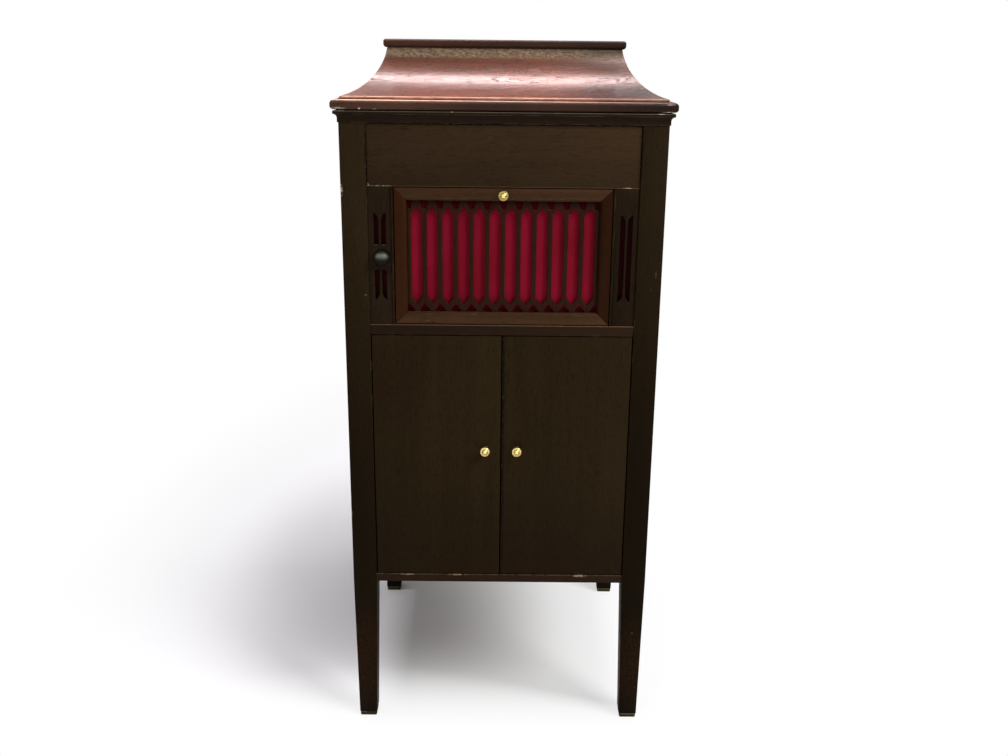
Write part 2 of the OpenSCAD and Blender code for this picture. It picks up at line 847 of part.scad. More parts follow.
module grille_cloth() {
    y = fret_y + fret_t;
    color(CLOTH) block([-fret_x - rebate_w + 0.6, y, fret_z - rebate_w + 0.6],
        [fret_x + rebate_w - 0.6, y + cloth_t, fret_z + fret_h + rebate_w - 0.6]);
}

module grille_knob() {
    color(BRASS) brass_knob(0, rail_y, grille_frame_z + grille_h - knob_r - 1);
}

module grille_pivot_pins() {
    color(BRASS) both_sides() bar_x([grille_x - grille_pin_in + 1, grille_pivot_y, grille_pivot_z],
        grille_pin_r, grille_pin_in + grille_gap + bead_w + grille_pin_out - 2);
}

// ---- Volume control ----

module volume_bush() {
    color(IRON) difference() {
        union() {
            bar_y([knob_x, apron_y - 1.5, knob_z], volume_bush_r, 1.5);
            bar_y([knob_x, apron_y, knob_z], volume_shaft_r + 3, stile_t + 2);
        }
        bar_y([knob_x, apron_y - 3, knob_z], volume_shaft_r + run, stile_t + 8);
    }
}

module volume_knob() {
    reach = knob_out - 1.5;
    color("#17171a") translate([knob_x, apron_y - 1.5 - clear, knob_z]) rotate([90, 0, 0]) difference() {
        union() {
            cylinder(r = volume_knob_r * 0.6, h = 4);
            translate([0, 0, 2]) intersection() {
                cylinder(r = volume_knob_r, h = reach - 2 - clear);
                translate([0, 0, reach - 2 - clear - volume_knob_r]) sphere(volume_knob_r);
            }
        }
        translate([0, 0, -1]) cylinder(r = volume_shaft_r, h = 8);
    }
}

module volume_shaft() {
    y0 = apron_y - 8.5 - clear;
    color(STEEL) bar_y([knob_x, y0, knob_z], volume_shaft_r, mute_y + mute_t - y0);
}

// A padded flap on an arm; it hangs beside the horn's mouth and swings up across it
module mute_flap() {
    arm_w = 12;
    color(CLOTH) difference() {
        translate([knob_x, mute_y + clear, knob_z]) union() {
            bar_y([0, 0, 0], 8, mute_t);
            block([-arm_w / 2, 0, -mute_l + mute_w], [arm_w / 2, mute_t, 0]);
            block([-mute_w / 2, 0, -mute_l], [mute_w / 2, mute_t, -mute_l + mute_w]);
        }
        bar_y([knob_x, mute_y - 1, knob_z], volume_shaft_r, mute_t + 8);
    }
}

// ---- Horn ----

module horn_mouth_frame() {
    color(DARK) {
        for (z = [[grille_z, mouth_z], [mouth_top, apron_z]])
            block([-side_in, mouth_y, z[0]], [side_in, horn_y, z[1]]);
        both_sides() block([mouth_x, mouth_y, mouth_z + joint], [side_in, horn_y, mouth_top - joint]);
    }
}

// The horn's plan between its two side boards; grow widens it on both sides
module horn_plan(grow_left, grow_right) {
    left = pillar_x - throat_s / 2;
    right = pillar_x + throat_s / 2;
    polygon([[-mouth_x - grow_left, horn_y], [mouth_x + grow_right, horn_y],
        [right + grow_right, throat_y], [left - grow_left, throat_y]]);
}

module horn_plan_prism(grow_left, grow_right) {
    translate([0, 0, mouth_z - horn_t]) linear_extrude(apron_z - mouth_z + 2 * horn_t)
        horn_plan(grow_left, grow_right);
}

// The horn's side view, extruded along X; grow raises its top and lowers its floor
module horn_side_prism(grow_top, grow_floor) {
    translate([-far / 2, 0, 0]) rotate([90, 0, 90]) linear_extrude(far)
        polygon([[horn_y, mouth_z - grow_floor], [throat_y, mouth_z - grow_floor],
            [throat_y, throat_top + grow_top], [horn_y, mouth_top + grow_top]]);
}

module horn_boards() {
    color(DARK) {
        // Top and floor boards
        difference() {
            intersection() {
                horn_plan_prism(horn_t, horn_t);
                horn_side_prism(horn_t, horn_t);
            }
            horn_side_prism(0, 0);
        }
        // Side boards
        intersection() {
            difference() {
                horn_plan_prism(horn_t, horn_t);
                translate([0, 0, -far / 4]) linear_extrude(far) horn_plan(0, 0);
            }
            horn_side_prism(-joint, -joint);
        }
    }
}

// A ring in the plane of its section
module pipe_section() {
    difference() {
        circle(elbow_out);
        circle(elbow_r);
    }
}

// The pipe from the throat: a short level run, a quarter bend and a long rise to the motor board
module horn_elbow() {
    flange = throat_s + 2 * horn_t - 1;
    bend_y = elbow_y - elbow_bend;
    z_up = throat_z + elbow_bend;
    color(IRON) {
        translate([pillar_x, throat_y + elbow_flange_t, throat_z]) rotate([90, 0, 0])
            linear_extrude(elbow_flange_t) difference() {
                square(flange, center = true);
                circle(elbow_r);
            }
        translate([pillar_x, bend_y, throat_z]) rotate([90, 0, 0])
            linear_extrude(elbow_run) pipe_section();
        translate([pillar_x, bend_y, z_up]) rotate([90, 0, 90]) rotate([0, 0, -90])
            rotate_extrude(angle = 90) translate([elbow_bend, 0]) pipe_section();
        translate([pillar_x, elbow_y, z_up]) linear_extrude(board_z - 5 - z_up) pipe_section();
        translate([pillar_x, elbow_y, board_z - 5]) linear_extrude(5) difference() {
            circle(elbow_out + 10);
            circle(elbow_r);
        }
    }
}

// ---- Motor board ----

module motor_board() {
    color(WOOD) difference() {
        translate([0, 0, board_z]) linear_extrude(motor_board_t) union() {
            translate([-side_in + 1, post_y + 0.5])
                square([2 * side_in - 2, rear_post_y - post_y - 1]);
            translate([-in_x + 0.5, apron_y + apron_t + 0.5])
                square([2 * in_x - 1, back_rail_y - apron_y - apron_t - 1]);
        }
        bar_z([spindle_x, sp_y, board_z - 1], 12, motor_board_t + 2);
        bar_z([pillar_x, elbow_y, board_z - 1], elbow_r, motor_board_t + 2);
        for (p = bowl_places) bar_z([p[0], p[1], board_z - 1], bowl_r, motor_board_t + 2);
        for (p = [brake_pivot, speed_pivot])
            bar_z([p[0], p[1], board_top - lever_pin_l - 1], lever_pin_r + run, lever_pin_l + 2);
        // Slot for the lid stay and its stop pin
        block([stay_x - 2, hinge_y - stay_r - 8, board_z - 1],
            [stay_x + stay_t + stop_l + 2, hinge_y - stay_r + 40, board_top + 1]);
    }
}

module motor_board_battens() {
    batten = 12;
    z = [board_z - 15, board_z];
    color(DARK) {
        both_sides() block([side_in - batten, post_y, z[0]], [side_in, rear_post_y, z[1]]);
        block([-in_x, apron_y + apron_t, z[0]], [in_x, apron_y + apron_t + batten, z[1]]);
        block([-in_x, back_rail_y - batten, z[0]], [in_x, back_rail_y, z[1]]);
    }
}

module needle_bowls() {
    color(BRASS) for (p = bowl_places) translate([p[0], p[1], 0]) difference() {
        union() {
            bar_z([0, 0, board_top - bowl_d], bowl_r - run, bowl_d);
            bar_z([0, 0, board_top], bowl_r + 3, 1.2);
        }
        bar_z([0, 0, board_top - bowl_d + 1.2], bowl_r - 1.5, bowl_d + 1);
    }
}

// ---- Motor ----

// Cheeks, top plate and spindle bridge of the motor, one casting
module motor_frame() {
    color(IRON) difference() {
        union() {
            block([spindle_x - cheek_x - plate_t, cheek_l, motor_top],
                [spindle_x + cheek_x + plate_t, cheek_r, board_z]);
            for (x = [spindle_x - cheek_x - plate_t, spindle_x + cheek_x])
                block([x, cheek_l, motor_z], [x + plate_t, cheek_r, motor_top + eps]);
            block([spindle_x - cheek_x - 1, sp_y - 5, motor_z + 1],
                [spindle_x + cheek_x + 1, sp_y + 9, motor_z + 7]);
        }
        bar_z([spindle_x, sp_y, motor_top - 1], spindle_r + run, plate_t + 2);
        bar_x([spindle_x - far / 4, barrel_y, barrel_z], arbor_r + run, far / 2);
        bar_x([spindle_x - far / 4, governor_y, governor_z], governor_r + run, far / 2);
        bar_x([spindle_x + cheek_x - 1, winder_y, barrel_z], winder_r + run, plate_t + 2);
    }
}

module spring_barrel() {
    color(BRASS) difference() {
        union() {
            bar_x([spindle_x - cheek_x + 1, barrel_y, barrel_z], barrel_r, motor_w / 2 - 6);
            bar_x([spindle_x - 5, barrel_y, barrel_z], barrel_gear_r, 10);
            bar_x([spindle_x + 5 - eps, barrel_y, barrel_z], barrel_r, motor_w / 2 - 8);
        }
        bar_x([spindle_x - motor_w, barrel_y, barrel_z], arbor_r + run, 2 * motor_w);
    }
}

module spring_arbor() {
    x0 = spindle_x - cheek_x - plate_t - 4;
    x1 = spindle_x + cheek_x + plate_t + 1;
    color(STEEL) {
        bar_x([x0, barrel_y, barrel_z], arbor_r, x1 + wheel_t + 2 - x0);
        translate([x1, barrel_y, barrel_z]) rotate([0, 90, 0]) spur_wheel(wheel_n, wheel_t, arbor_r - eps);
    }
}

module winding_shaft() {
    x0 = spindle_x + cheek_x - 2;
    x1 = spindle_x + cheek_x + plate_t + 1;
    color(STEEL) difference() {
        union() {
            bar_x([x0, winder_y, barrel_z], winder_r, socket_end - x0);
            translate([x1, winder_y, barrel_z]) rotate([0, 90, 0])
                rotate([0, 0, 180 / pinion_n]) spur_wheel(pinion_n, wheel_t, winder_r - eps);
        }
        bar_x([socket_end - socket_l, winder_y, barrel_z], socket_r, socket_l + 1);
    }
}

module crank_escutcheon() {
    color(BRASS) difference() {
        union() {
            bar_x([side_out, winder_y, barrel_z], 20, 2.5);
            bar_x([side_out - 8, winder_y, barrel_z], winder_r + 3, 8);
        }
        bar_x([side_out - 10, winder_y, barrel_z], winder_r + run, 14);
    }
}

module turntable() {
    color(STEEL) translate([spindle_x, sp_y, platter_z]) rotate_extrude($fn = 128) polygon([
        [spindle_r + run, -5], [13, -5], [16, platter_t - 4], [turntable_r - 3.5, platter_t - 4],
        [turntable_r - 3.5, 0], [turntable_r - 1, 0], [turntable_r, 1], [turntable_r, platter_t - 1],
        [turntable_r - 1, platter_t], [spindle_r + run, platter_t]]);
}

module turntable_felt() {
    color("#3d4a34") difference() {
        bar_z([spindle_x, sp_y, felt_z], turntable_r - 2.5, felt_t);
        bar_z([spindle_x, sp_y, felt_z - 1], spindle_r + 0.5, felt_t + 2);
    }
}

module turntable_spindle() {
    foot_z = motor_z + 7 + clear;
    worm_z = barrel_z - 14;
    color(STEEL) translate([spindle_x, sp_y, 0]) {
        bar_z([0, 0, foot_z], spindle_r, felt_z + 12 - foot_z);
        translate([0, 0, felt_z + 12 - eps]) cylinder(r1 = spindle_r, r2 = spindle_r - 1.5, h = 3);
        bar_z([0, 0, worm_z], worm_r, 28);
        bar_z([0, 0, governor_z - 2], governor_wheel_r, 4);
    }
}

// The governor's shaft with its worm, three weights and friction disc
module governor() {
    l = motor_w + 2 * plate_t;
    color(BRASS) translate([spindle_x, governor_y, governor_z]) {
        bar_x([-l / 2, 0, 0], governor_r, l);
        bar_x([-8, 0, 0], governor_worm_r, 16);
        bar_x([-cheek_x + 6, 0, 0], 10.5, 2.5);
        bar_x([-cheek_x + 14, 0, 0], 4.5, 18);
        for (a = [0, 120, 240]) rotate([a, 0, 0]) translate([-cheek_x + 23, 0, 7]) sphere(3.5);
    }
}

// ---- Tone arm ----

module tone_arm_base() {
    color("#b9bcc0") translate([pillar_x, elbow_y, board_top]) difference() {
        union() {
            cylinder(r = elbow_out + 8, h = 4);
            translate([0, 0, 3]) cylinder(r1 = elbow_out + 4, r2 = arm_ball_r, h = 10);
            cylinder(r = arm_ball_r, h = arm_z - board_top - 21);
        }
        translate([0, 0, -1]) cylinder(r = arm_r - 2, h = arm_z - board_top);
        translate([0, 0, arm_z - board_top - 31]) cylinder(r = arm_r + run, h = 20);
    }
}

// The arm turns in its base; its hollow runs from the sleeve in the base to the stub for the sound box
module tone_arm() {
    l = elbow_y - arm_end_y;
    sleeve_z = arm_z - 30;
    stub_x = pillar_x - arm_end_r - stub_l;
    color("#b9bcc0") difference() {
        union() {
            bar_z([pillar_x, elbow_y, sleeve_z], arm_r, 30);
            translate([pillar_x, elbow_y, arm_z]) sphere(arm_ball_r);
            bar_z([pillar_x, elbow_y, arm_z - 21 + clear], arm_ball_r, 12);
            translate([pillar_x, elbow_y, arm_z]) rotate([90, 0, 0])
                cylinder(r1 = arm_r, r2 = arm_end_r, h = l);
            translate([pillar_x, arm_end_y, arm_z]) sphere(arm_end_r);
            bar_x([stub_x, arm_end_y, arm_z], arm_stub_r, stub_l + 2);
        }
        bar_z([pillar_x, elbow_y, sleeve_z - 1], arm_r - 3, 31);
        translate([pillar_x, elbow_y, arm_z]) rotate([90, 0, 0])
            cylinder(r1 = arm_r - 3, r2 = arm_end_r - 3, h = l);
        bar_x([stub_x - 1, arm_end_y, arm_z], 3, arm_end_r + stub_l + 1);
    }
}

// The sound box turns on the arm's stub, with its needle pointing down to the record
module sound_box() {
    needle_r = 0.9;
    holder_l = 10;
    drop = arm_z - needle_z;
    color("#b9bcc0") translate([sound_box_x, arm_end_y, arm_z]) {
        difference() {
            union() {
                bar_x([0, 0, 0], sound_box_r, sound_box_t);
                bar_x([sound_box_t, 0, 0], arm_stub_r + 3.5, stub_gap - clear);
            }
            bar_x([sound_box_t - stub_in - clear, 0, 0], arm_stub_r + run, 20);
            bar_x([-1, 0, 0], sound_box_r - 5, 4);
        }
        translate([sound_box_t / 2, 0, 0]) rotate([-needle_lean, 0, 0]) {
            block([-2.5, -3, -sound_box_r - holder_l / 2], [2.5, 3, -sound_box_r + 3]);
            bar_z([0, 0, -drop / cos(needle_lean) + needle_r], needle_r, 14);
        }
    }
}

// ---- Controls on the motor board ----

// A lever's pin in the board and its boss above it
module lever_boss(r, h) {
    translate([0, 0, -lever_pin_l]) cylinder(r = lever_pin_r, h = lever_pin_l + 1);
    translate([0, 0, clear]) cylinder(r = r, h = h);
}

module brake_lever() {
    grip = -26;
    color(STEEL) translate([brake_pivot[0], brake_pivot[1], board_top]) rotate([0, 0, 90 + brake_angle]) {
        lever_boss(6, 8);
        block([grip, -3.5, 3], [brake_l, 3.5, 6]);
        translate([brake_l, 0, 3]) cylinder(r = brake_pad_r, h = 14);
        translate([grip, 0, 3]) cylinder(r = 4.5, h = 12);
    }
}

module speed_lever() {
    color(STEEL) translate([speed_pivot[0], speed_pivot[1], board_top]) {
        lever_boss(7, 6);
        block([0, -2.5, 2], [speed_l, 2.5, 4.5]);
        translate([speed_l - 4, 0, 2]) cylinder(r = 4.5, h = 11);
    }
}

// ---- Lid ----

module lid_base_frame() {
    w = lid_base_w;
    color(WOOD) difference() {
        union() {
            three_sides(lid_x, lid_y, w, lid_z, lid_base_t)
                translate([0, lid_z]) rounded_edge(w, lid_base_t, 5, 6);
            block([w + joint - lid_x, back_y - w, lid_z], [lid_x - w - joint, back_y, cove_z]);
        }
        at_lid_hinges() leaf_pocket();
    }
}

// The section of a cove board, from the edge of the base frame inwards
module cove_section() {
    translate([0, cove_z]) difference() {
        polygon([[cove_set, 0], [cove_set, cove_foot], [cove_top_u, cove_foot + cove_s],
            [cove_top_u, cove_h], [cove_in_u, cove_h], [cove_in_u, cove_in_h], [cove_foot_u, 0]]);
        translate([cove_set + cove_centre, cove_foot + cove_s - cove_centre]) circle(cove_r, $fn = 128);
    }
}

module lid_coves() {
    color(WOOD) three_sides(lid_x, lid_y, cove_in_u, cove_z, cove_h) cove_section();
}

module lid_back_board() {
    foot = lid_x - cove_foot_u;
    head = lid_x - cove_in_u;
    color(WOOD) translate([0, back_y, 0]) rotate([90, 0, 0]) linear_extrude(lid_back_t)
        polygon([[-foot, cove_z], [foot, cove_z], [head, cove_z + cove_in_h], [head, slab_z],
            [-head, slab_z], [-head, cove_z + cove_in_h]]);
}

module lid_top_board() {
    x = lid_x - slab_u;
    color(WOOD) intersection() {
        block([-x, lid_y + slab_u, slab_z], [x, back_y, slab_z + slab_t]);
        sweep_front(lid_y + slab_u) translate([0, slab_z]) rounded_edge(case_d, slab_t, 5, 4);
        sweep_right(x) translate([0, slab_z]) rounded_edge(2 * x, slab_t, 5, 4);
        mirror([1, 0, 0]) sweep_right(x) translate([0, slab_z]) rounded_edge(2 * x, slab_t, 5, 4);
    }
}

module lid_hinge_leaves() {
    color(BRASS) at_lid_hinges() leaf(1);
}

module case_hinge_leaves() {
    color(BRASS) at_lid_hinges() mirror([0, 0, 1]) leaf(0);
}

module lid_hinge_pins() {
    color(STEEL) at_lid_hinges() bar_x([-hinge_l / 2, 0, 0], hinge_pin_r, hinge_l);
}

// An arc round the hinge's axis, from the lid's frame down into the case
module lid_stay() {
    tab = asin((lid_base_t - 1) / stay_r);
    color(BRASS) translate([stay_x, hinge_y, hinge_z]) {
        rotate([90, 0, 90]) rotate([0, 0, 180 - tab]) rotate_extrude(angle = tab + stay_end, $fn = 128)
            translate([stay_r - stay_w / 2, 0]) square([stay_w, stay_t]);
        rotate([stay_stop, 0, 0]) bar_x([0, -stay_r, 0], 2.5, stay_t + stop_l);
    }
}

// A bracket on the side panel that the stay slides through
module stay_keeper() {
    color(BRASS) difference() {
        block([-side_in, hinge_y - stay_r - keeper_w / 2, keeper_z],
            [stay_x + stay_t + stop_l, hinge_y - stay_r + keeper_w / 2, keeper_z + keeper_h]);
        block([stay_x - slot_play, hinge_y - stay_r - stay_w / 2 - slot_play, keeper_z - 1],
            [stay_x + stay_t + slot_play, hinge_y - stay_r + stay_w / 2 + 2 * slot_play,
                keeper_z + keeper_h + 1]);
    }
}

front_posts();
rear_posts();
foot_pads();
side_panels();
back_panel();
back_top_rail();
apron();
rim_moulding();
mid_rail();
bottom_rail();
shelf_boards();
record_dividers();
door_pivot_pins();
door_catches();
left_door();
left_door_knob();
right_door();
right_door_knob();
left_fret_stile();
right_fret_stile();
cock_beads();
stile_cloths();
grille_frame();
grille_fret();
grille_cloth();
grille_knob();
grille_pivot_pins();
volume_bush();
volume_knob();
volume_shaft();
mute_flap();
horn_mouth_frame();
horn_boards();
horn_elbow();
motor_board();
motor_board_battens();
needle_bowls();
motor_frame();
spring_barrel();
spring_arbor();
winding_shaft();
crank_escutcheon();
turntable();
turntable_felt();
turntable_spindle();
governor();
tone_arm_base();
tone_arm();
sound_box();
brake_lever();
speed_lever();
lid_base_frame();
lid_coves();
lid_back_board();
lid_top_board();
lid_hinge_leaves();
case_hinge_leaves();
lid_hinge_pins();
lid_stay();
stay_keeper();
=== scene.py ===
"""Looks of a floor-standing gramophone cabinet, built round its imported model.

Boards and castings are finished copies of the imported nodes, with eased and worn edges. The cloths,
the felt, the knobs, the screws and the sound box's small parts are modelled here. Lengths are in
metres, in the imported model's own frame: +X to the viewer's right, +Y to the back, +Z up. Eased
edges and marks are given in millimetres, and colours as a picture shows them, from 0 to 255.
"""

from __future__ import annotations

import logging
import math
from abc import ABC, abstractmethod
from contextlib import contextmanager
from dataclasses import dataclass, replace
from enum import Enum
from typing import Any, ClassVar, Iterator, Optional, Sequence, Union

import bmesh
import bpy
import numpy as np
from mathutils import Matrix, Vector

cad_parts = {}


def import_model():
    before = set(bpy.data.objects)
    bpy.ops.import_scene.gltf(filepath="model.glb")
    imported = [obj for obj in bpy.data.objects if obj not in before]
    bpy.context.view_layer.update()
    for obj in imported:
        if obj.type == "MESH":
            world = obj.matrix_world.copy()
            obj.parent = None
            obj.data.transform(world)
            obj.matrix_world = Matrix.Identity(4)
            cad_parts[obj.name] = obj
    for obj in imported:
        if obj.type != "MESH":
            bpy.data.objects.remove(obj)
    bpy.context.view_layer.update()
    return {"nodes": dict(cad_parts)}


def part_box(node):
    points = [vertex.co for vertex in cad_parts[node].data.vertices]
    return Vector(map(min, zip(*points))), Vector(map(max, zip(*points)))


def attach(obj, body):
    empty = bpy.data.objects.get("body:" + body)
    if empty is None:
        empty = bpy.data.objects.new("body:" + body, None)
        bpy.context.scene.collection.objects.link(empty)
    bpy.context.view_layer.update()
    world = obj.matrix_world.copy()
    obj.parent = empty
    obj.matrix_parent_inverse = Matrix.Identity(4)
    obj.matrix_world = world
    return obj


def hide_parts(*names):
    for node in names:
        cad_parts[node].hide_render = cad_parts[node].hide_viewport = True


log = logging.getLogger("gramophone")

MM = 0.001
EDGE = "edge_wear"  # the attribute that marks the eased edges
SHARP = math.radians(32)  # an edge that bends more than this is eased
SHORTEST = 3.0  # how many widths of the easing an eased edge is long at least
MERGE = 0.000004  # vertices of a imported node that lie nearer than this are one
FLAT = math.radians(0.4)  # triangles that bend less than this are one face
SPOT_RIM = (1.0, 0.35)  # where a spot starts and where it is full, in its half sizes
WHITE = (1.0, 1.0, 1.0, 1.0)
Piece = bpy.types.Object
Material = bpy.types.Material
Point = tuple[float, float, float]
Colour = tuple[float, float, float, float]
Span = tuple[float, float]
Rgb = tuple[int, int, int]
Operand = Union["Shade", float, int]
Paint = Union["Shade", Rgb]


def linear(paint: Paint) -> Union[Shade, Colour]:
    """Turns a colour as a picture shows it into the linear one that a shader takes.

    Args:
        paint: Red, green and blue, 0 to 255, or a Shade.

    Returns:
        The linear colour with an alpha of 1; a Shade stays as it is.
    """
    if isinstance(paint, Shade):
        return paint
    shares = [level / 255 for level in paint]
    red, green, blue = (s / 12.92 if s <= 0.04045 else ((s + 0.055) / 1.055) ** 2.4 for s in shares)
    return (red, green, blue, 1.0)


class Grain(Enum):
    """The direction in which a board's grain runs, or an axis."""

    ACROSS = 0
    DEEP = 1
    UP = 2


ACROSS, DEEP, UP = Grain


# ---- Shader graphs ----


class Shade:
    """A node's output that takes part in Python expressions; each operator adds a Math node."""

    def __init__(self, graph: Graph, socket: Optional[bpy.types.NodeSocket]) -> None:
        """Wraps an output socket of a node in the graph."""
        self.graph = graph
        self.socket = socket

    def __add__(self, other: Operand) -> Shade:
        """Adds."""
        return self.graph.math("ADD", self, other)

    def __sub__(self, other: Operand) -> Shade:
        """Subtracts."""
        return self.graph.math("SUBTRACT", self, other)

    def __rsub__(self, other: Operand) -> Shade:
        """Is subtracted from a number."""
        return self.graph.math("SUBTRACT", other, self)

    def __mul__(self, other: Operand) -> Shade:
        """Multiplies."""
        return self.graph.math("MULTIPLY", self, other)

    __radd__ = __add__
    __rmul__ = __mul__

    def sine(self) -> Shade:
        """The sine."""
        return self.graph.math("SINE", self)

    def size(self) -> Shade:
        """The value without its sign."""
        return self.graph.math("ABSOLUTE", self)

    def least(self, other: Operand) -> Shade:
        """The smaller of two values."""
        return self.graph.math("MINIMUM", self, other)

    def most(self, other: Operand) -> Shade:
        """The larger of two values."""
        return self.graph.math("MAXIMUM", self, other)

    def step(self, low: float, high: float) -> Shade:
        """A smooth step from 0 at low to 1 at high; it falls where low is the higher."""
        return self.graph.node("MapRange", {"interpolation_type": "SMOOTHSTEP"},
                               {"Value": self, "From Min": low, "From Max": high})


@dataclass(frozen=True)
class Pattern:
    """A noise pattern.

    Its scale is its number of spots over a metre; along the grain it may have its own. Its detail
    is its number of finer layers, rough is how much each of them counts, and twist is how far it is
    distorted. Its step, where it has one, makes it 0 or 1 with soft rims.
    """

    scale: float
    along: Optional[float] = None
    detail: float = 3.0
    rough: float = 0.6
    twist: float = 0.0
    step: Optional[Span] = None


@dataclass(frozen=True)
class PaintedFade:
    """Painted light or shade: a change of lightness along one axis, nothing at the start and the whole
    factor at the end.
    """

    axis: Grain
    start: float
    end: float
    factor: float


class Graph:
    """The node tree of a material or of the world."""

    def __init__(self, owner: Union[Material, bpy.types.World]) -> None:
        """Starts an empty tree.

        Args:
            owner: The material or the world.
        """
        owner.use_nodes = True
        self.owner = owner
        self.tree = owner.node_tree
        self.tree.nodes.clear()
        self._place: Optional[Shade] = None

    def node(self, kind: str, settings: Optional[dict[str, Any]] = None,
             values: Optional[dict[Union[str, int], Any]] = None, output: Union[str, int] = 0) -> Shade:
        """Adds a node.

        Args:
            kind: The node's type, without the ShaderNode in front.
            settings: Its settings.
            values: A value or a Shade for each input socket, by its name or number.
            output: The output to return, by its name or number.

        Returns:
            The chosen output; it has no socket where the node has no outputs.
        """
        made = self.tree.nodes.new(f"ShaderNode{kind}")
        for name, setting in (settings or {}).items():
            setattr(made, name, setting)
        for name, value in (values or {}).items():
            if isinstance(value, Shade):
                self.tree.links.new(value.socket, made.inputs[name])
            else:
                made.inputs[name].default_value = value
        return Shade(self, made.outputs[output] if made.outputs else None)

    def math(self, operation: str, *operands: Operand) -> Shade:
        """Adds a Math node with its one or two operands."""
        return self.node("Math", {"operation": operation}, dict(enumerate(operands)))

    def mix(self, share: Operand, first: Paint, second: Paint) -> Shade:
        """Mixes two colours; the share is the second one's."""
        return self.node("Mix", {"data_type": "RGBA"}, {0: share, 6: linear(first), 7: linear(second)}, 2)

    def tint(self, colour: Union[Shade, Point], by: Operand) -> Shade:
        """Makes a linear colour lighter or darker by a factor."""
        return self.node("VectorMath", {"operation": "SCALE"}, {0: colour, "Scale": by})

    def faded(self, colour: Shade, painted_light_fades: Sequence[PaintedFade]) -> Shade:
        """Paints light and shade into a colour along the axes.

        Args:
            colour: The colour.
            painted_light_fades: The painted light and shade.

        Returns:
            The changed colour.
        """
        for fade in painted_light_fades:
            share = self.along(fade.axis).step(fade.start, fade.end)
            colour = self.tint(colour, share * (fade.factor - 1.0) + 1.0)
        return colour

    def place(self) -> Shade:
        """Reads the place on the object; the node is made once.

        Returns:
            The place, in metres.
        """
        if self._place is None:
            self._place = self.node("TexCoord", output="Object")
        return self._place

    def along(self, axis: Grain) -> Shade:
        """One coordinate of the place on the object."""
        return self.node("SeparateXYZ", {}, {0: self.place()}, axis.value)

    def facing(self, axis: Grain) -> Shade:
        """How far the surface faces along an axis, from -1 to 1."""
        return self.node("SeparateXYZ", {}, {0: self.node("NewGeometry", output="Normal")}, axis.value)

    def edge(self) -> Shade:
        """How near to an eased edge the place is: 0 on the faces, towards 1 on the edge."""
        return self.node("Attribute", {"attribute_name": EDGE}, {}, "Fac")

    def stretched(self, scale: Point, shift: Point = (0.0, 0.0, 0.0)) -> Shade:
        """The place times a scale along each axis, with a shift added afterwards."""
        return self.node("Mapping", {}, {"Vector": self.place(), "Scale": scale, "Location": shift})

    def pattern(self, pattern: Pattern, grain: Grain = UP) -> Shade:
        """Adds a noise pattern.

        Args:
            pattern: The pattern.
            grain: The direction in which it has its own scale, if it has one.

        Returns:
            The noise, about 0.5, or its step.
        """
        place, scale = self.place(), pattern.scale
        if pattern.along is not None:
            run = [scale] * 3
            run[grain.value] = pattern.along
            place, scale = self.stretched((run[0], run[1], run[2])), 1.0
        noise = self.node("TexNoise", {}, {
            "Vector": place, "Scale": scale, "Detail": pattern.detail, "Roughness": pattern.rough,
            "Distortion": pattern.twist})
        return noise.step(*pattern.step) if pattern.step else noise

    def reach(self, middle: Point, halves: Point) -> Shade:
        """How far the place is from a middle, counted in half sizes along each axis.

        Args:
            middle: The middle, in metres.
            halves: The half sizes, in metres.

        Returns:
            0 in the middle and 1 on the rim.
        """
        scale = tuple(1 / half for half in halves)
        shift = tuple(-at / half for at, half in zip(middle, halves))
        return self.node("VectorMath", {"operation": "LENGTH"}, {0: self.stretched(scale, shift)}, "Value")

    def spot(self, at: Point, size: Point) -> Shade:
        """A soft spot, 1 in its middle and 0 at its rim; its middle and half sizes are in millimetres."""
        return self.reach(tuple(a * MM for a in at), tuple(s * MM for s in size)).step(*SPOT_RIM)

    def surface(self, colour: Shade, rough: Operand, height: Shade, depth: float,
                **settings: Any) -> Material:
        """Ends the graph in a shader.

        Args:
            colour: The base colour.
            rough: The roughness.
            height: What the surface's relief follows.
            depth: The height of the relief, in metres.
            settings: Plain numbers and colours for other sockets, with _ for the spaces in their names.

        Returns:
            The material.
        """
        values: dict[Union[str, int], Any] = {"Base Color": colour, "Roughness": rough}
        values.update({name.replace("_", " "): value for name, value in settings.items()})
        values["Normal"] = self.node("Bump", {}, {"Height": height, "Distance": depth})
        return self.end(self.node("BsdfPrincipled", {}, values), "OutputMaterial")

    def end(self, shader: Shade, output: str) -> Union[Material, bpy.types.World]:
        """Links a shader to an output node and returns the tree's owner."""
        self.node(output, {}, {"Surface": shader})
        return self.owner


# ---- Finishes ----


RINGS = Pattern(5.0, 0.55, detail=2.0, rough=0.5, twist=0.3)
STREAKS = Pattern(130.0, 3.0, detail=5.0)
CLOUDS = Pattern(7.0, rough=0.5)
PORES = Pattern(900.0, 45.0, detail=2.0, rough=0.5, step=(0.57, 0.68))
FLECKS = Pattern(430.0, 110.0, step=(0.53, 0.68))
SPECKS = Pattern(190.0, 400.0, detail=4.0, rough=0.75, step=(0.4, 0.62))
RUBBING = Pattern(38.0, detail=4.0, rough=0.7)
RAGGED = Pattern(260.0, step=(0.4, 0.54))
TARNISH = Pattern(60.0, detail=5.0, step=(0.42, 0.68))
SCRATCHES = Pattern(900.0, detail=2.0, rough=0.5)
WOBBLE = Pattern(150.0, detail=2.0, rough=0.5)
SLUBS = Pattern(40.0, 500.0)
BLEACHED = Pattern(9.0, rough=0.5, step=(0.35, 0.7))
FIBRES = Pattern(1400.0, detail=4.0, rough=0.7, twist=1.5)
TREADS = Pattern(14.0, detail=4.0, step=(0.3, 0.72))
TOUCH = Pattern(120.0, detail=4.0)
HANDLING = Pattern(70.0, step=(0.45, 0.6))

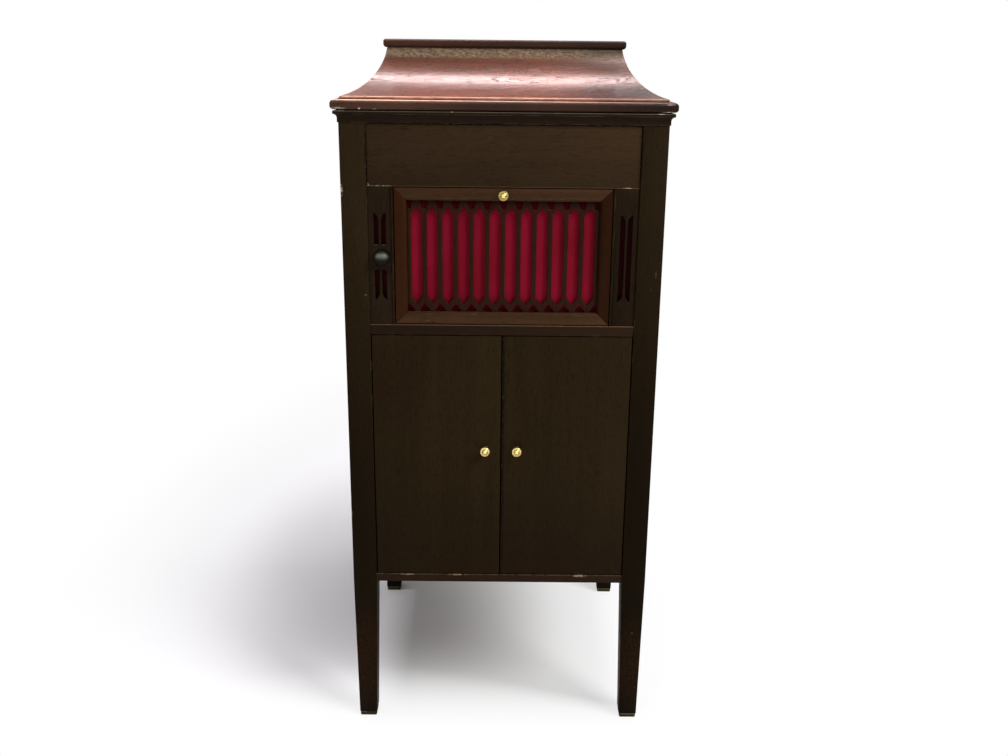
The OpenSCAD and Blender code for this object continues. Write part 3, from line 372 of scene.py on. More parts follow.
# How often the rings of the woods repeat, and how much each pattern counts in tone, roughness and relief.
RING_TURNS = 60.0
RING_TONE = 0.16
STREAK_TONE = 0.9
CLOUD_TONE = 0.7
DARKER = 0.3
GRAIN_ROUGH = 0.12
FLECK_ROUGH = 0.4
BARE_ROUGH = 0.15
GRAIN_RELIEF = 0.6
# Where the varnish is rubbed away: more wear lowers the step, and the crest line ends sharply.
RUB_STEP = (0.6, 0.72)
RUB_SHIFT = 0.2
RUB_GAIN = 1.4
CREST_END = 0.0001
CREST_EVEN = 0.7
FILM_EVEN = 0.7
FILM_SPECKS = 0.2
# How the threads and the fibres shade a cloth and a felt.
WOBBLE_TURN = 2.2
BLEACH_SHARE = 0.6
WEAVE_SHADE = 0.35
THREAD_SHADE = 0.3
CLOTH_SHADE = 0.45
FIBRE_TONE = 0.7
TREAD_TONE = 0.5
FELT_DARKER = 0.1
# A painted highlight on a knob: it starts on the faces that look this far up, and is thin on the top and the
# sides.
HIGHLIGHT_RISE = (-0.35, 0.38)
HIGHLIGHT_TOP = (0.38, 0.8)
HIGHLIGHT_TOP_LOSS = 0.88
HIGHLIGHT_SIDE = (0.1, 0.6)
HIGHLIGHT_SIDE_LOSS = 0.7

SPECK = (225, 210, 190)
CHIP = (186, 160, 124)
RUBBED = (138, 116, 94)
WORN_EDGE = (96, 76, 56)
WARM = (34, 17, 4)
GAP = (14, 10, 6)
FILM = ((72, 56, 40), (138, 121, 91))


@dataclass(frozen=True)
class Finish(ABC):
    """What a surface is made of and how it has aged."""

    name: str
    slot: str
    _made: ClassVar[dict[str, Material]] = {}

    @abstractmethod
    def dress(self, graph: Graph, grain: Grain) -> Material:
        """Builds the material.

        Args:
            graph: The empty graph.
            grain: The direction of the grain.

        Returns:
            The material.
        """

    def material(self, grain: Grain = UP) -> Material:
        """The material for one direction of the grain, made the first time that it is asked for.

        Args:
            grain: The direction of the grain.

        Returns:
            The material.
        """
        name = f"{self.name}_{grain.name.lower()}"
        if name not in self._made:
            self._made[name] = self.dress(Graph(bpy.data.materials.new(name)), grain)
        return self._made[name]


@dataclass(frozen=True)
class Mark:
    """A chip, streak, stain, painted shade or painted highlight: its middle and half sizes in millimetres,
    its colour.
    """

    at: Point
    size: Point
    strength: float = 1.0
    colour: Optional[Rgb] = None


def marks_on(face: float, reach: float, *rows: tuple[Any, ...]) -> tuple[Mark, ...]:
    """Marks that lie on one front face; lengths are in millimetres.

    Args:
        face: The face's place along Y.
        reach: The marks' half size along Y.
        rows: For each mark its X and Z, its half sizes along X and Z, its strength and its colour.

    Returns:
        The marks.
    """
    return tuple(Mark((x, face, z), (wide, reach, high), *rest) for x, z, wide, high, *rest in rows)


@dataclass(frozen=True)
class Wood(Finish):
    """Stained and varnished wood: rings, streaks and pores along the grain, and worn edges.

    Dust lies over the heights that it names, and the crest is a worn line between two heights.
    """

    dark: Rgb
    light: Rgb
    worn: Rgb
    contrast: float = 0.5
    roughness: float = 0.45
    specular: float = 0.07
    tint: Colour = (1.0, 0.62, 0.36, 1.0)
    wear: float = 0.5
    pores: float = 0.35
    flecks: float = 0.25
    relief: float = 0.00012
    # Painted light and shade along the axes.
    painted_light_fades: tuple[PaintedFade, ...] = ()
    dust_and_highlight: Optional[Span] = None
    crest: Optional[Span] = None
    marks: tuple[Mark, ...] = ()

    def _bare(self, graph: Graph) -> Shade:
        """Rubs the varnish off the eased edges and along the crest.

        Args:
            graph: The wood's graph.

        Returns:
            How bare the wood is, from 0 to 1.
        """
        low, high = (limit - self.wear * RUB_SHIFT for limit in RUB_STEP)
        rubbed = graph.pattern(RUBBING).step(low, high)
        bare = graph.edge() * rubbed * min(1.0, self.wear * RUB_GAIN)
        if self.crest:
            height = graph.along(UP)
            low, high = self.crest
            line = height.step(low, (low + high) / 2) * (1.0 - height.step(high, high + CREST_END))
            bare = bare.most(line * (rubbed * (1 - CREST_EVEN) + CREST_EVEN))
        return bare

    def dress(self, graph: Graph, grain: Grain) -> Material:
        """Builds the wood.

        Args:
            graph: The empty graph.
            grain: The direction of the grain.

        Returns:
            The material.
        """
        rings = (graph.pattern(RINGS, grain) * RING_TURNS).sine()
        streaks, clouds, pores, flecks = (graph.pattern(p, grain) for p in (STREAKS, CLOUDS, PORES, FLECKS))
        tone = rings * RING_TONE + streaks * STREAK_TONE + clouds * CLOUD_TONE - DARKER
        share = (tone * self.contrast + (0.5 - self.contrast / 2)).least(1.0).most(0.0)
        colour = graph.mix(share, self.dark, self.light)
        colour = graph.tint(colour, (1.0 - pores * self.pores) * (1.0 - flecks * self.flecks))
        if self.dust_and_highlight:
            specks = graph.pattern(SPECKS)
            dust_and_highlight_share = graph.along(UP).step(*self.dust_and_highlight) * (specks * FILM_SPECKS + FILM_EVEN)
            colour = graph.mix(dust_and_highlight_share, colour, graph.mix(specks, *FILM))
        bare = self._bare(graph)
        # The worn wood, then the painted light and shade along the axes.
        colour = graph.faded(graph.mix(bare, colour, self.worn), self.painted_light_fades)
        # Marks: chips, stains and dark joints, and patches of painted shade and painted highlight.
        if self.marks:
            ragged = graph.pattern(RAGGED)
            for mark in self.marks:
                cover = graph.spot(mark.at, mark.size) * (ragged * mark.strength)
                colour = graph.mix(cover, colour, mark.colour or self.worn)
        grained = (streaks + clouds) * GRAIN_ROUGH + (self.roughness - GRAIN_ROUGH)
        rough = grained + bare * BARE_ROUGH + flecks * (self.flecks * FLECK_ROUGH)
        relief = (streaks - flecks) * GRAIN_RELIEF - pores
        return graph.surface(colour, rough, relief, self.relief, Specular_IOR_Level=self.specular,
                             Specular_Tint=self.tint)


@dataclass(frozen=True)
class Metal(Finish):
    """Bare or plated metal, with tarnish in patches and fine scratches."""

    bright: Rgb
    dull: Rgb
    roughness: float = 0.2
    tarnish: float = 0.3
    patch: float = TARNISH.scale
    grit: float = 0.00001

    def dress(self, graph: Graph, grain: Grain) -> Material:
        """Builds the metal.

        Args:
            graph: The empty graph.
            grain: The direction of the grain; not used.

        Returns:
            The material.
        """
        patches = graph.pattern(replace(TARNISH, scale=self.patch)) * self.tarnish
        fine = graph.pattern(SCRATCHES)
        colour = graph.mix(patches, self.bright, self.dull)
        rough = patches * 0.25 + fine * 0.08 + self.roughness
        return graph.surface(colour, rough, fine, self.grit, Metallic=1.0)


@dataclass(frozen=True)
class Cloth(Finish):
    """Plain woven cloth: threads over and under each other, bleached in places."""

    deep: Rgb
    bleached: Rgb
    threads: float = 900.0
    roughness: float = 0.85
    specular: float = 0.05
    sheen: float = 0.08
    relief: float = 0.0003
    # Painted shade along the axes.
    painted_light_fades: tuple[PaintedFade, ...] = ()

    def dress(self, graph: Graph, grain: Grain) -> Material:
        """Builds the cloth.

        Args:
            graph: The empty graph.
            grain: The direction of the grain; not used.

        Returns:
            The material.
        """
        turn = self.threads * math.pi
        wobble = graph.pattern(WOBBLE) * WOBBLE_TURN
        warp = (graph.along(ACROSS) * turn + wobble).sine()
        weft = (graph.along(UP) * turn + wobble).sine()
        weave = (warp * weft) * 0.5 + 0.5
        thread = warp.size().most(weft.size())
        slubs = graph.pattern(SLUBS)
        bleach = graph.pattern(BLEACHED) * BLEACH_SHARE + slubs * (1 - BLEACH_SHARE)
        colour = graph.mix(bleach, self.deep, self.bleached)
        colour = graph.tint(colour, weave * WEAVE_SHADE + thread * THREAD_SHADE + CLOTH_SHADE)
        # Painted shade goes in along the axes.
        return graph.surface(graph.faded(colour, self.painted_light_fades), self.roughness, weave + slubs, self.relief,
                             Specular_IOR_Level=self.specular, Sheen_Weight=self.sheen, Sheen_Roughness=0.5)


@dataclass(frozen=True)
class Felt(Finish):
    """Felt: short matted fibres."""

    deep: Rgb
    light: Rgb
    roughness: float = 0.95
    specular: float = 0.05
    sheen: float = 0.12
    relief: float = 0.0008

    def dress(self, graph: Graph, grain: Grain) -> Material:
        """Builds the felt.

        Args:
            graph: The empty graph.
            grain: The direction of the grain; not used.

        Returns:
            The material.
        """
        fibres = graph.pattern(FIBRES)
        tone = fibres * FIBRE_TONE + graph.pattern(TREADS) * TREAD_TONE - FELT_DARKER
        colour = graph.mix(tone, self.deep, self.light)
        return graph.surface(colour, self.roughness, fibres, self.relief, Specular_IOR_Level=self.specular,
                             Sheen_Weight=self.sheen, Sheen_Roughness=0.6)


@dataclass(frozen=True)
class Moulded(Finish):
    """A moulded or painted surface, slightly handled, with or without a painted highlight on its upper half.
    """

    colour: Rgb
    handled: Rgb
    roughness: float = 0.3
    relief: float = 0.00002
    specular: float = 0.5
    dust_and_highlight: Optional[Rgb] = None

    def dress(self, graph: Graph, grain: Grain) -> Material:
        """Builds the moulded surface.

        Args:
            graph: The empty graph.
            grain: The direction of the grain; not used.

        Returns:
            The material.
        """
        touch = graph.pattern(TOUCH)
        rubbed = graph.edge() * graph.pattern(HANDLING)
        colour = graph.mix((touch * 0.5 + rubbed).least(1.0), self.colour, self.handled)
        # A painted highlight on the upper faces.
        if self.dust_and_highlight:
            up, side = graph.facing(UP), graph.facing(ACROSS)
            dust_and_highlight_share = up.step(*HIGHLIGHT_RISE)
            top = 1.0 - up.step(*HIGHLIGHT_TOP) * HIGHLIGHT_TOP_LOSS
            flank = 1.0 - (side * side).step(*HIGHLIGHT_SIDE) * HIGHLIGHT_SIDE_LOSS
            colour = graph.mix(dust_and_highlight_share * dust_and_highlight_share * top * flank * (touch * 0.5 + 0.5), colour, self.dust_and_highlight)
        return graph.surface(colour, touch * 0.2 + self.roughness, touch, self.relief,
                             Specular_IOR_Level=self.specular)


SEAMS = marks_on(-235, 9, (-201.5, 950, 2.6, 75, 1, GAP), (201.5, 950, 2.6, 75, 1, GAP))
# The dark band along the apron's top, under the moulding, is a painted shadow.
APRON_MARKS = (
    *marks_on(-234.1, 3,
              (-180, 904.2, 25, 1.5, 0.9, RUBBED), (-200, 906, 2.5, 2.5, 0.8, CHIP),
              (183, 904.2, 8, 1.3, 0.9, CHIP), (0, 904.4, 12, 1.8, 0.5),
              (-20, 976, 2, 1, 0.35), (0, 994.6, 900, 2.6, 1, (10, 7, 5))),
    *SEAMS,
)
CASE_MARKS = (
    *SEAMS,
    *marks_on(-236.6, 9, (-240, 897, 4.5, 13, 1, CHIP)),
    *marks_on(-236.6, 3,
              (-207, 741, 2, 1.6, 0.5, CHIP), (231, 777, 1, 9, 0.7),
              (225, 751, 1.4, 4, 0.35), (-239.5, 380, 2, 9, 0.8)),
    *marks_on(-225, 60, (-222, 115, 34, 125, 0.9, WARM), (222, 105, 34, 110, 0.8, WARM)),
    *marks_on(-236.6, 4,
              (-230, 75, 1.8, 1.8, 0.7), (-230, 30, 2.4, 1.6, 0.8, CHIP),
              (-213, 71, 1, 9, 0.5), (-237.5, 172, 1.2, 16, 0.5),
              (223, 165, 1.6, 2.6, 0.6), (204.5, 148, 1, 5, 0.6),
              (232, 60, 1.2, 2, 0.7)),
)
RAIL_MARKS = marks_on(
    -235.6, 3,
    (0, 272, 900, 1.1, 0.55), (-152, 271.5, 16, 1.7, 0.9, RUBBED),
    (-70, 271.5, 20, 1.6, 0.8, RUBBED), (131, 271, 15, 2.6, 1, RUBBED),
    (-120, 264, 110, 7, 0.5, WARM))
DOOR_MARKS = (
    *marks_on(-235.6, 2, (-85, 305, 34, 0.8, 0.3), (-108, 330, 0.7, 30, 0.25)),
    *marks_on(-235.6, 3,
              (-165, 600, 60, 110, 0.45, (32, 15, 9)), (30, 285, 240, 50, 0.45, (25, 12, 4))),
    *marks_on(-235.6, 4, (2, 475, 4.6, 600, 0.95, (7, 4, 3))),
)
LID_MARKS = (
    *marks_on(-246.5, 5,
              (-238, 1015.2, 14, 2.4, 0.45, SPECK), (-208, 1015, 2.6, 1.6, 1, SPECK),
              (-186, 1014.6, 4, 1.4, 0.5, SPECK)),
    *marks_on(-246.5, 6, (236, 1013.9, 13, 1, 0.9, SPECK), (238, 1024.5, 9, 1.6, 0.5)),
)
MOULDING_MARKS = marks_on(
    -245, 8,
    (-238, 1011.8, 12, 1, 0.5, SPECK), (-76, 1011.5, 4, 1.2, 0.8, SPECK),
    (226, 1011.5, 8, 1, 0.5, SPECK))
# The dark mark at the cove's right end is painted shade; the other two are darker patches low on the cove.
COVE_MARKS = (
    *marks_on(-215, 90, (170, 1044, 95, 15, 0.95, (16, 6, 4))),
    *marks_on(-222, 60, (20, 1043, 170, 11, 0.5, (40, 18, 14))),
    *marks_on(-215, 90, (-170, 1046, 50, 14, 0.6, (50, 24, 16))),
)
# Above the volume knob two pale marks are painted highlights; the dark patch under it is a painted shadow.
STILE_MARKS = marks_on(
    -234.2, 3,
    (-189.5, 817.8, 4.5, 1.8, 0.6, (96, 80, 72)), (-178, 817.8, 4.5, 1.8, 0.6, (96, 80, 72)),
    (-180, 783, 19, 22, 0.85, (12, 8, 5)))
GRILLE_MARKS = marks_on(
    -235.6, 3, (-108, 698.4, 11, 2.2, 0.9, (12, 7, 4)), (-112, 700.6, 7, 0.9, 0.6))

# Painted light: the case is lighter towards its top, and painted shade darkens its right posts.
CASE_WOOD = Wood(
    "case_wood", "case_wood", (13, 8, 3), (19, 13, 6), WORN_EDGE, specular=0.05, tint=(1, 0.68, 0.4, 1),
    wear=0.2, marks=CASE_MARKS, painted_light_fades=(PaintedFade(UP, 0.3, 1, 3.8), PaintedFade(ACROSS, 0.18, 0.21, 0.7)))
RAIL_WOOD = Wood(
    "rail_wood", "case_wood", (24, 15, 9), (38, 26, 17), (96, 76, 58), wear=0.35, crest=(0.6934, 0.6949),
    marks=RAIL_MARKS)
MOULDING_WOOD = Wood(
    "moulding_wood", "case_wood", (22, 16, 10), (33, 26, 18), (94, 84, 72), wear=0.8,
    crest=(1.0104, 1.0117), marks=MOULDING_MARKS)
# Painted light: the apron is lighter towards its top, a painted sheen.
APRON_WOOD = Wood(
    "apron_wood", "case_wood", (34, 23, 13), (50, 37, 24), (96, 76, 58), wear=0.15, crest=(0.9034, 0.9046),
    marks=APRON_MARKS, painted_light_fades=(PaintedFade(UP, 0.9, 1, 1.3),))
# Painted shade: the right stile is darker.
STILE_WOOD = Wood(
    "stile_wood", "case_wood", (23, 16, 9), (36, 27, 17), WORN_EDGE, wear=0.4, marks=STILE_MARKS,
    painted_light_fades=(PaintedFade(ACROSS, 0.1, 0.16, 0.78),))
# Painted shade: the doors are darker towards the bottom.
DOOR_WOOD = Wood(
    "door_wood", "door_wood", (17, 12, 5), (30, 22, 10), (70, 54, 38), contrast=0.6, specular=0.055,
    wear=0.15, marks=DOOR_MARKS, painted_light_fades=(PaintedFade(UP, 0.29, 0.52, 1.8),))
GRILLE_RAIL = Wood(
    "grille_rail", "grille_wood", (40, 25, 14), (74, 51, 34), (112, 84, 60), contrast=0.9, wear=0.4,
    marks=GRILLE_MARKS)
# Painted shade: the right upright is darker.
GRILLE_UPRIGHT = Wood(
    "grille_upright", "grille_wood", (32, 12, 4), (52, 28, 12), (90, 62, 40), contrast=0.9, wear=0.25,
    painted_light_fades=(PaintedFade(ACROSS, 0.1, 0.15, 0.75),))
# Painted shadow: the fret is darker under the frame's top rail and along its sides.
FRET_WOOD = Wood(
    "fret_wood", "fret_wood", (30, 13, 9), (48, 24, 18), (104, 62, 52), wear=0.5,
    painted_light_fades=(PaintedFade(UP, 0.872, 0.883, 0.3), PaintedFade(ACROSS, -0.1405, -0.143, 0.3),
           PaintedFade(ACROSS, 0.1405, 0.143, 0.3)))
# Painted light and shade: the lid is lighter towards the left and darker towards the right.
LID_WOOD = Wood(
    "lid_wood", "lid_wood", (35, 20, 14), (64, 42, 32), (166, 128, 110), contrast=0.9, roughness=0.42,
    specular=0.16, tint=(1, 0.75, 0.6, 1), wear=0.95, pores=0.5, crest=(1.0261, 1.0274), marks=LID_MARKS,
    painted_light_fades=(PaintedFade(ACROSS, 0, -0.2, 1.6), PaintedFade(ACROSS, 0.04, 0.24, 0.25)))
# Painted shade: the cove is darker towards its right end.
COVE_WOOD = Wood(
    "cove_wood", "lid_wood", (54, 21, 10), (106, 51, 30), (194, 138, 113), contrast=1.1, roughness=0.29,
    specular=0.68, tint=(1, 0.76, 0.67, 1), wear=0.75, pores=0.45, flecks=0.8, relief=0.00007,
    dust_and_highlight=(1.0835, 1.0885), crest=(1.0275, 1.0318), marks=COVE_MARKS,
    painted_light_fades=(PaintedFade(ACROSS, 0.05, 0.16, 0.45),))
BOARD_WOOD = Wood(
    "board_wood", "lid_wood", (48, 27, 15), (82, 50, 29), (130, 94, 62), contrast=1.1, specular=0.25,
    wear=0.4)
INNER_WOOD = Wood(
    "inner_wood", "inner_wood", (62, 42, 26), (96, 68, 44), (120, 92, 64), contrast=0.9, roughness=0.6,
    specular=0.2, wear=0.3)
FOOT_WOOD = Wood("foot_wood", "foot_wood", (34, 32, 18), (60, 56, 36), (110, 100, 76), wear=0.8)
# Painted shadow: the cloth is darker at its top and bottom, next to the grille's frame.
RED_CLOTH = Cloth(
    "red_cloth", "red_cloth", (122, 7, 28), (150, 15, 44),
    painted_light_fades=(PaintedFade(UP, 0.866, 0.882, 0.16), PaintedFade(UP, 0.732, 0.719, 0.35)))
# The red cloth in painted shade, for the cloths behind the stiles and for the mute flap.
SHADED_CLOTH = Cloth("painted_shade_cloth", "red_cloth", (48, 6, 12), (66, 10, 18), sheen=0.05)
GREEN_FELT = Felt("green_felt", "green_felt", (22, 36, 20), (64, 82, 48))
BRASS = Metal("brass", "brass", (176, 152, 74), (108, 86, 28), 0.22, 0.8, 260)
# Lit and shaded copies of the brass for the knobs: the pale and the bright one are painted highlights, the
# dark one is painted shade.
LIT_PALE_BRASS = Metal("painted_highlight_pale_brass", "brass", (246, 224, 160), (132, 108, 54), 0.16, 0.7, 260)
HIGHLIGHT_BRASS = Metal("painted_highlight_brass", "brass", (255, 236, 146), (196, 168, 92), 0.18, 0.5, 260)
SHADED_DARK_BRASS = Metal("dark_brass", "brass", (74, 56, 30), (34, 26, 16), 0.4, 0.8)
OLD_BRASS = Metal("old_brass", "brass", (196, 158, 84), (96, 74, 40), 0.3, 0.8)
NICKEL = Metal("nickel", "nickel", (205, 204, 198), (128, 122, 108), 0.13, 0.3)
STEEL = Metal("steel", "steel", (160, 160, 160), (92, 86, 78), 0.3, 0.5)
IRON = Moulded("iron", "iron", (26, 25, 25), (48, 46, 44), 0.45, 0.00025, 0.15)
BUSH = Moulded("knob_bush", "iron", (6, 5, 4), (16, 14, 12), 0.5, 0.0001, 0.04)
# The volume knob is black, with a painted highlight on its upper half.
BLACK = Moulded(
    "black_knob", "black_plastic", (10, 10, 9), (20, 19, 17), specular=0.06, dust_and_highlight=(120, 117, 107))
MICA = Moulded("mica", "nickel", (150, 138, 110), (190, 180, 150), 0.15)


# ---- Bench tools ----


CLOTH_STEP = 4 * MM
CLOTH_THICK = 0.3 * MM

# The outlines of the turned knobs, from the foot up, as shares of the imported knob's radius and length.
BLACK_KNOB_FOOT = [
    (0.62, 0.0), (0.62, 0.1), (0.56, 0.14), (0.58, 0.19), (0.72, 0.22), (0.88, 0.29), (0.97, 0.38)]
# Each piece of the brass knob has its own copy of the brass: painted shade on the foot, painted highlights
# on the rim and the button.
BRASS_KNOB = {
    "foot": (SHADED_DARK_BRASS, (
        (0.66, 0.0), (0.66, 0.06), (0.58, 0.1), (0.48, 0.14), (0.42, 0.22), (0.42, 0.36))),
    "rim": (LIT_PALE_BRASS, (
        (0.4, 0.34), (0.5, 0.44), (0.78, 0.53), (0.95, 0.6), (1.0, 0.68), (0.99, 0.76), (0.94, 0.82),
        (0.86, 0.86), (0.78, 0.86), (0.72, 0.82))),
    "dish": (BRASS, (
        (0.78, 0.6), (0.78, 0.83), (0.66, 0.81), (0.5, 0.85), (0.38, 0.92))),
    "button": (HIGHLIGHT_BRASS, (
        (0.4, 0.8), (0.38, 0.92), (0.3, 0.96), (0.18, 0.99), (0.06, 1.0))),
}


def deselect() -> None:
    """Selects nothing."""
    bpy.ops.object.select_all(action="DESELECT")


def select_only(piece: Piece) -> None:
    """Selects one object and makes it the active one.

    Args:
        piece: The object.
    """
    deselect()
    piece.select_set(True)
    bpy.context.view_layer.objects.active = piece


@contextmanager
def editing(piece: Piece) -> Iterator[None]:
    """Opens an object in edit mode with everything selected.

    Args:
        piece: The object.

    Yields:
        Nothing; the mode is left afterwards.
    """
    select_only(piece)
    bpy.ops.object.mode_set(mode="EDIT")
    bpy.ops.mesh.select_all(action="SELECT")
    try:
        yield
    finally:
        bpy.ops.object.mode_set(mode="OBJECT")


def modify(piece: Piece, kind: str, **settings: Any) -> None:
    """Adds a modifier and applies it.

    Args:
        piece: The object.
        kind: The modifier's type.
        settings: Its settings.
    """
    select_only(piece)
    modifier = piece.modifiers.new(kind.title(), kind)
    for name, setting in settings.items():
        setattr(modifier, name, setting)
    bpy.ops.object.modifier_apply(modifier=modifier.name)


def settle(piece: Piece, name: str) -> Piece:
    """Names a new object and moves its place, turn and scale into its mesh.

    Args:
        piece: The object.
        name: Its name.

    Returns:
        The object.
    """
    select_only(piece)
    bpy.ops.object.transform_apply(location=True, rotation=True, scale=True)
    piece.name = name
    piece.data.name = name
    return piece


def copy_node(node: str) -> Piece:
    """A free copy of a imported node, with its triangles merged into faces.

    Args:
        node: The node's name.

    Returns:
        The copy, at the origin.
    """
    source = bpy.data.objects[node]
    copy = source.copy()
    copy.data = source.data.copy()
    for key in list(copy.keys()):
        del copy[key]
    copy.parent = None
    copy.matrix_world = Matrix.Identity(4)
    bpy.context.scene.collection.objects.link(copy)
    normals = copy.data.attributes.get("custom_normal")
    if normals:
        copy.data.attributes.remove(normals)
    with editing(copy):
        bpy.ops.mesh.remove_doubles(threshold=MERGE)
        bpy.ops.mesh.dissolve_limited(angle_limit=FLAT)
    return copy


def loose_parts(piece: Piece) -> list[Piece]:
    """Splits an object into its separate solids.

    Args:
        piece: The object.

    Returns:
        The solids, from left to right, then from front to back, then from the bottom up.
    """
    with editing(piece):
        bpy.ops.mesh.separate(type="LOOSE")
    parts = list(bpy.context.selected_objects)
    return sorted(parts, key=lambda p: tuple(round(c, 4) for c in middle_of(p)))


def corners(piece: Piece) -> np.ndarray:
    """Reads the places of an object's vertices.

    Args:
        piece: The object.

    Returns:
        A row of X, Y and Z for each vertex.
    """
    places = np.empty(len(piece.data.vertices) * 3)
    piece.data.vertices.foreach_get("co", places)
    return places.reshape(-1, 3)


def middle_of(piece: Piece) -> Point:
    """The middle of an object's box."""
    places = corners(piece)
    return tuple((places.min(0) + places.max(0)) / 2)


def longest_side(piece: Piece) -> Grain:
    """The direction in which an object is longest."""
    places = corners(piece)
    return Grain(int(np.argmax(places.max(0) - places.min(0))))


def ease_edges(piece: Piece, width: float, segments: int = 2) -> None:
    """Rounds the outer edges of a piece and marks the vertices that the rounding made.

    Args:
        piece: The piece.
        width: The width of the rounding, in metres; at 0 the edges stay.
        segments: The number of faces across it.
    """
    mesh = bmesh.new()
    mesh.from_mesh(piece.data)
    weight = mesh.edges.layers.float.new("bevel_weight_edge")
    for edge in mesh.edges:
        if (len(edge.link_faces) == 2 and edge.calc_face_angle_signed(0) > SHARP
                and edge.calc_length() > SHORTEST * width):
            edge[weight] = 1.0
    mesh.to_mesh(piece.data)
    mesh.free()
    data = piece.data
    data.materials.clear()
    for _ in range(2):
        data.materials.append(None)
    data.polygons.foreach_set("material_index", np.zeros(len(data.polygons), dtype=np.int32))
    if width > 0:
        modify(piece, "BEVEL", width=width, segments=segments, limit_method="WEIGHT",
               use_clamp_overlap=False, material=1)
    worn = np.ones(len(data.vertices)) if width > 0 else np.zeros(len(data.vertices))
    for face in data.polygons:
        if face.material_index == 0:
            worn[list(face.vertices)] = 0.0
    data.polygons.foreach_set("material_index", np.zeros(len(data.polygons), dtype=np.int32))
    data.attributes.new(EDGE, "FLOAT", "POINT")
    data.attributes[EDGE].data.foreach_set("value", worn)


def smooth(piece: Piece, angle: float = 34.0) -> None:
    """Smooths the shading over edges that are flatter than an angle, in degrees."""
    select_only(piece)
    bpy.ops.object.shade_smooth_by_angle(angle=math.radians(angle))


def aim(piece: Piece, at: Point, towards: Grain, sign: int, spin: float = 0.0) -> Piece:
    """Takes a piece that stands upright at the origin to its own place and direction.

    Args:
        piece: The piece.
        at: The place of its foot.
        towards: The axis that it stands on.
        sign: 1 along the axis, -1 against it.
        spin: How far it is turned about itself, in radians.

    Returns:
        The piece.
    """
    quarter = math.radians(90 * sign)
    upright = (0 if sign > 0 else math.pi, 0, spin)
    turns = {ACROSS: (spin, quarter, 0), DEEP: (-quarter, spin, 0), UP: upright}
    piece.rotation_euler = turns[towards]
    piece.location = at
    return settle(piece, piece.name)


def turned(name: str, profile: Sequence[Span], at: Point, towards: Grain, sign: int = 1,
           sides: int = 48) -> Piece:
    """Turns a solid on a lathe: a disc is drawn out and widened or narrowed step by step.

    Args:
        name: The object's name.
        profile: The radius and the height of each step, in metres, from the foot up.
        at: The middle of its foot.
        towards: The axis that it stands on.
        sign: 1 along the axis, -1 against it.
        sides: The number of sides.

    Returns:
        The closed solid.
    """
    (radius, height), *steps = profile
    deselect()
    bpy.ops.mesh.primitive_circle_add(
        vertices=sides, radius=radius, fill_type="NGON", location=(0, 0, height))
    piece = bpy.context.object
    with editing(piece):
        for wider, higher in steps:
            bpy.ops.mesh.extrude_region_move(TRANSFORM_OT_translate={"value": (0, 0, higher - height)})
            share = wider / radius
            bpy.ops.transform.resize(value=(share, share, 1), center_override=(0, 0, higher))
            radius, height = wider, higher
        bpy.ops.mesh.select_all(action="SELECT")
        bpy.ops.mesh.fill_holes(sides=0)
        bpy.ops.mesh.select_all(action="SELECT")
        bpy.ops.mesh.normals_make_consistent(inside=False)
    return aim(settle(piece, name), at, towards, sign)


def turned_knob(node: str, name: str, shape: Sequence[Span]) -> Piece:
    """Turns a piece of a knob that stands out to the front where a packed one does.

    Args:
        node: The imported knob.
        name: The piece's name.
        shape: The steps of its outline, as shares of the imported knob's radius and length.

    Returns:
        The turned piece.
    """
    low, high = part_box(node)
    radius, length = (high.x - low.x) / 2, high.y - low.y
    foot = ((low.x + high.x) / 2, high.y, (low.z + high.z) / 2)
    piece = turned(name, [(radius * r, length * h) for r, h in shape], foot, DEEP, -1)
    smooth(piece, 40)
    return piece


def join(pieces: Sequence[Piece], name: str) -> Piece:
    """Joins objects into one.

    Args:
        pieces: The objects.
        name: The name of the joined one.

    Returns:
        The joined object.
    """
    deselect()
    for piece in pieces:
        piece.select_set(True)
    bpy.context.view_layer.objects.active = pieces[0]
    bpy.ops.object.join()
    return settle(pieces[0], name)


def screw_head(at: Point, towards: Grain, sign: int, radius: float) -> Piece:
    """A slotted screw head that stands a little proud of a face.

    Args:
        at: The middle of the head on its face.
        towards: The axis that it faces along.
        sign: 1 along the axis, -1 against it.
        radius: The head's radius.

    Returns:
        The screw head.
    """
    proud = slot = radius * 0.22
    dome = [(radius, -0.6 * MM), (radius, proud * 0.35), (radius * 0.8, proud * 0.85), (radius * 0.4, proud)]
    head = turned("screw", dome, (0, 0, 0), UP, 1, 20)
    deselect()
    bpy.ops.mesh.primitive_cube_add(size=1, location=(0, 0, proud))
    bpy.context.object.scale = (radius * 3, slot, proud)
    blade = settle(bpy.context.object, "blade")
    modify(head, "BOOLEAN", operation="DIFFERENCE", object=blade, solver="EXACT")
    bpy.data.objects.remove(blade)
    # The slot points one of four ways, as the screw's place gives it.
    spin = math.radians(35 + 47 * (round(at[0] * 997 + at[1] * 531) % 4))
    return aim(head, at, towards, sign, spin)


def on_circle(middle: Sequence[float], axis: Grain, reach: float, angles: Sequence[float]) -> list[Point]:
    """Places on a circle.

    Args:
        middle: The circle's middle.
        axis: Its axis, across or up.
        reach: Its radius.
        angles: The angle of each place.

    Returns:
        The places.
    """
    x, y, z = middle
    steps = [(reach * math.cos(angle), reach * math.sin(angle)) for angle in angles]
    if axis is UP:
        return [(x + first, y + second, z) for first, second in steps]
    return [(x, y + first, z + second) for first, second in steps]


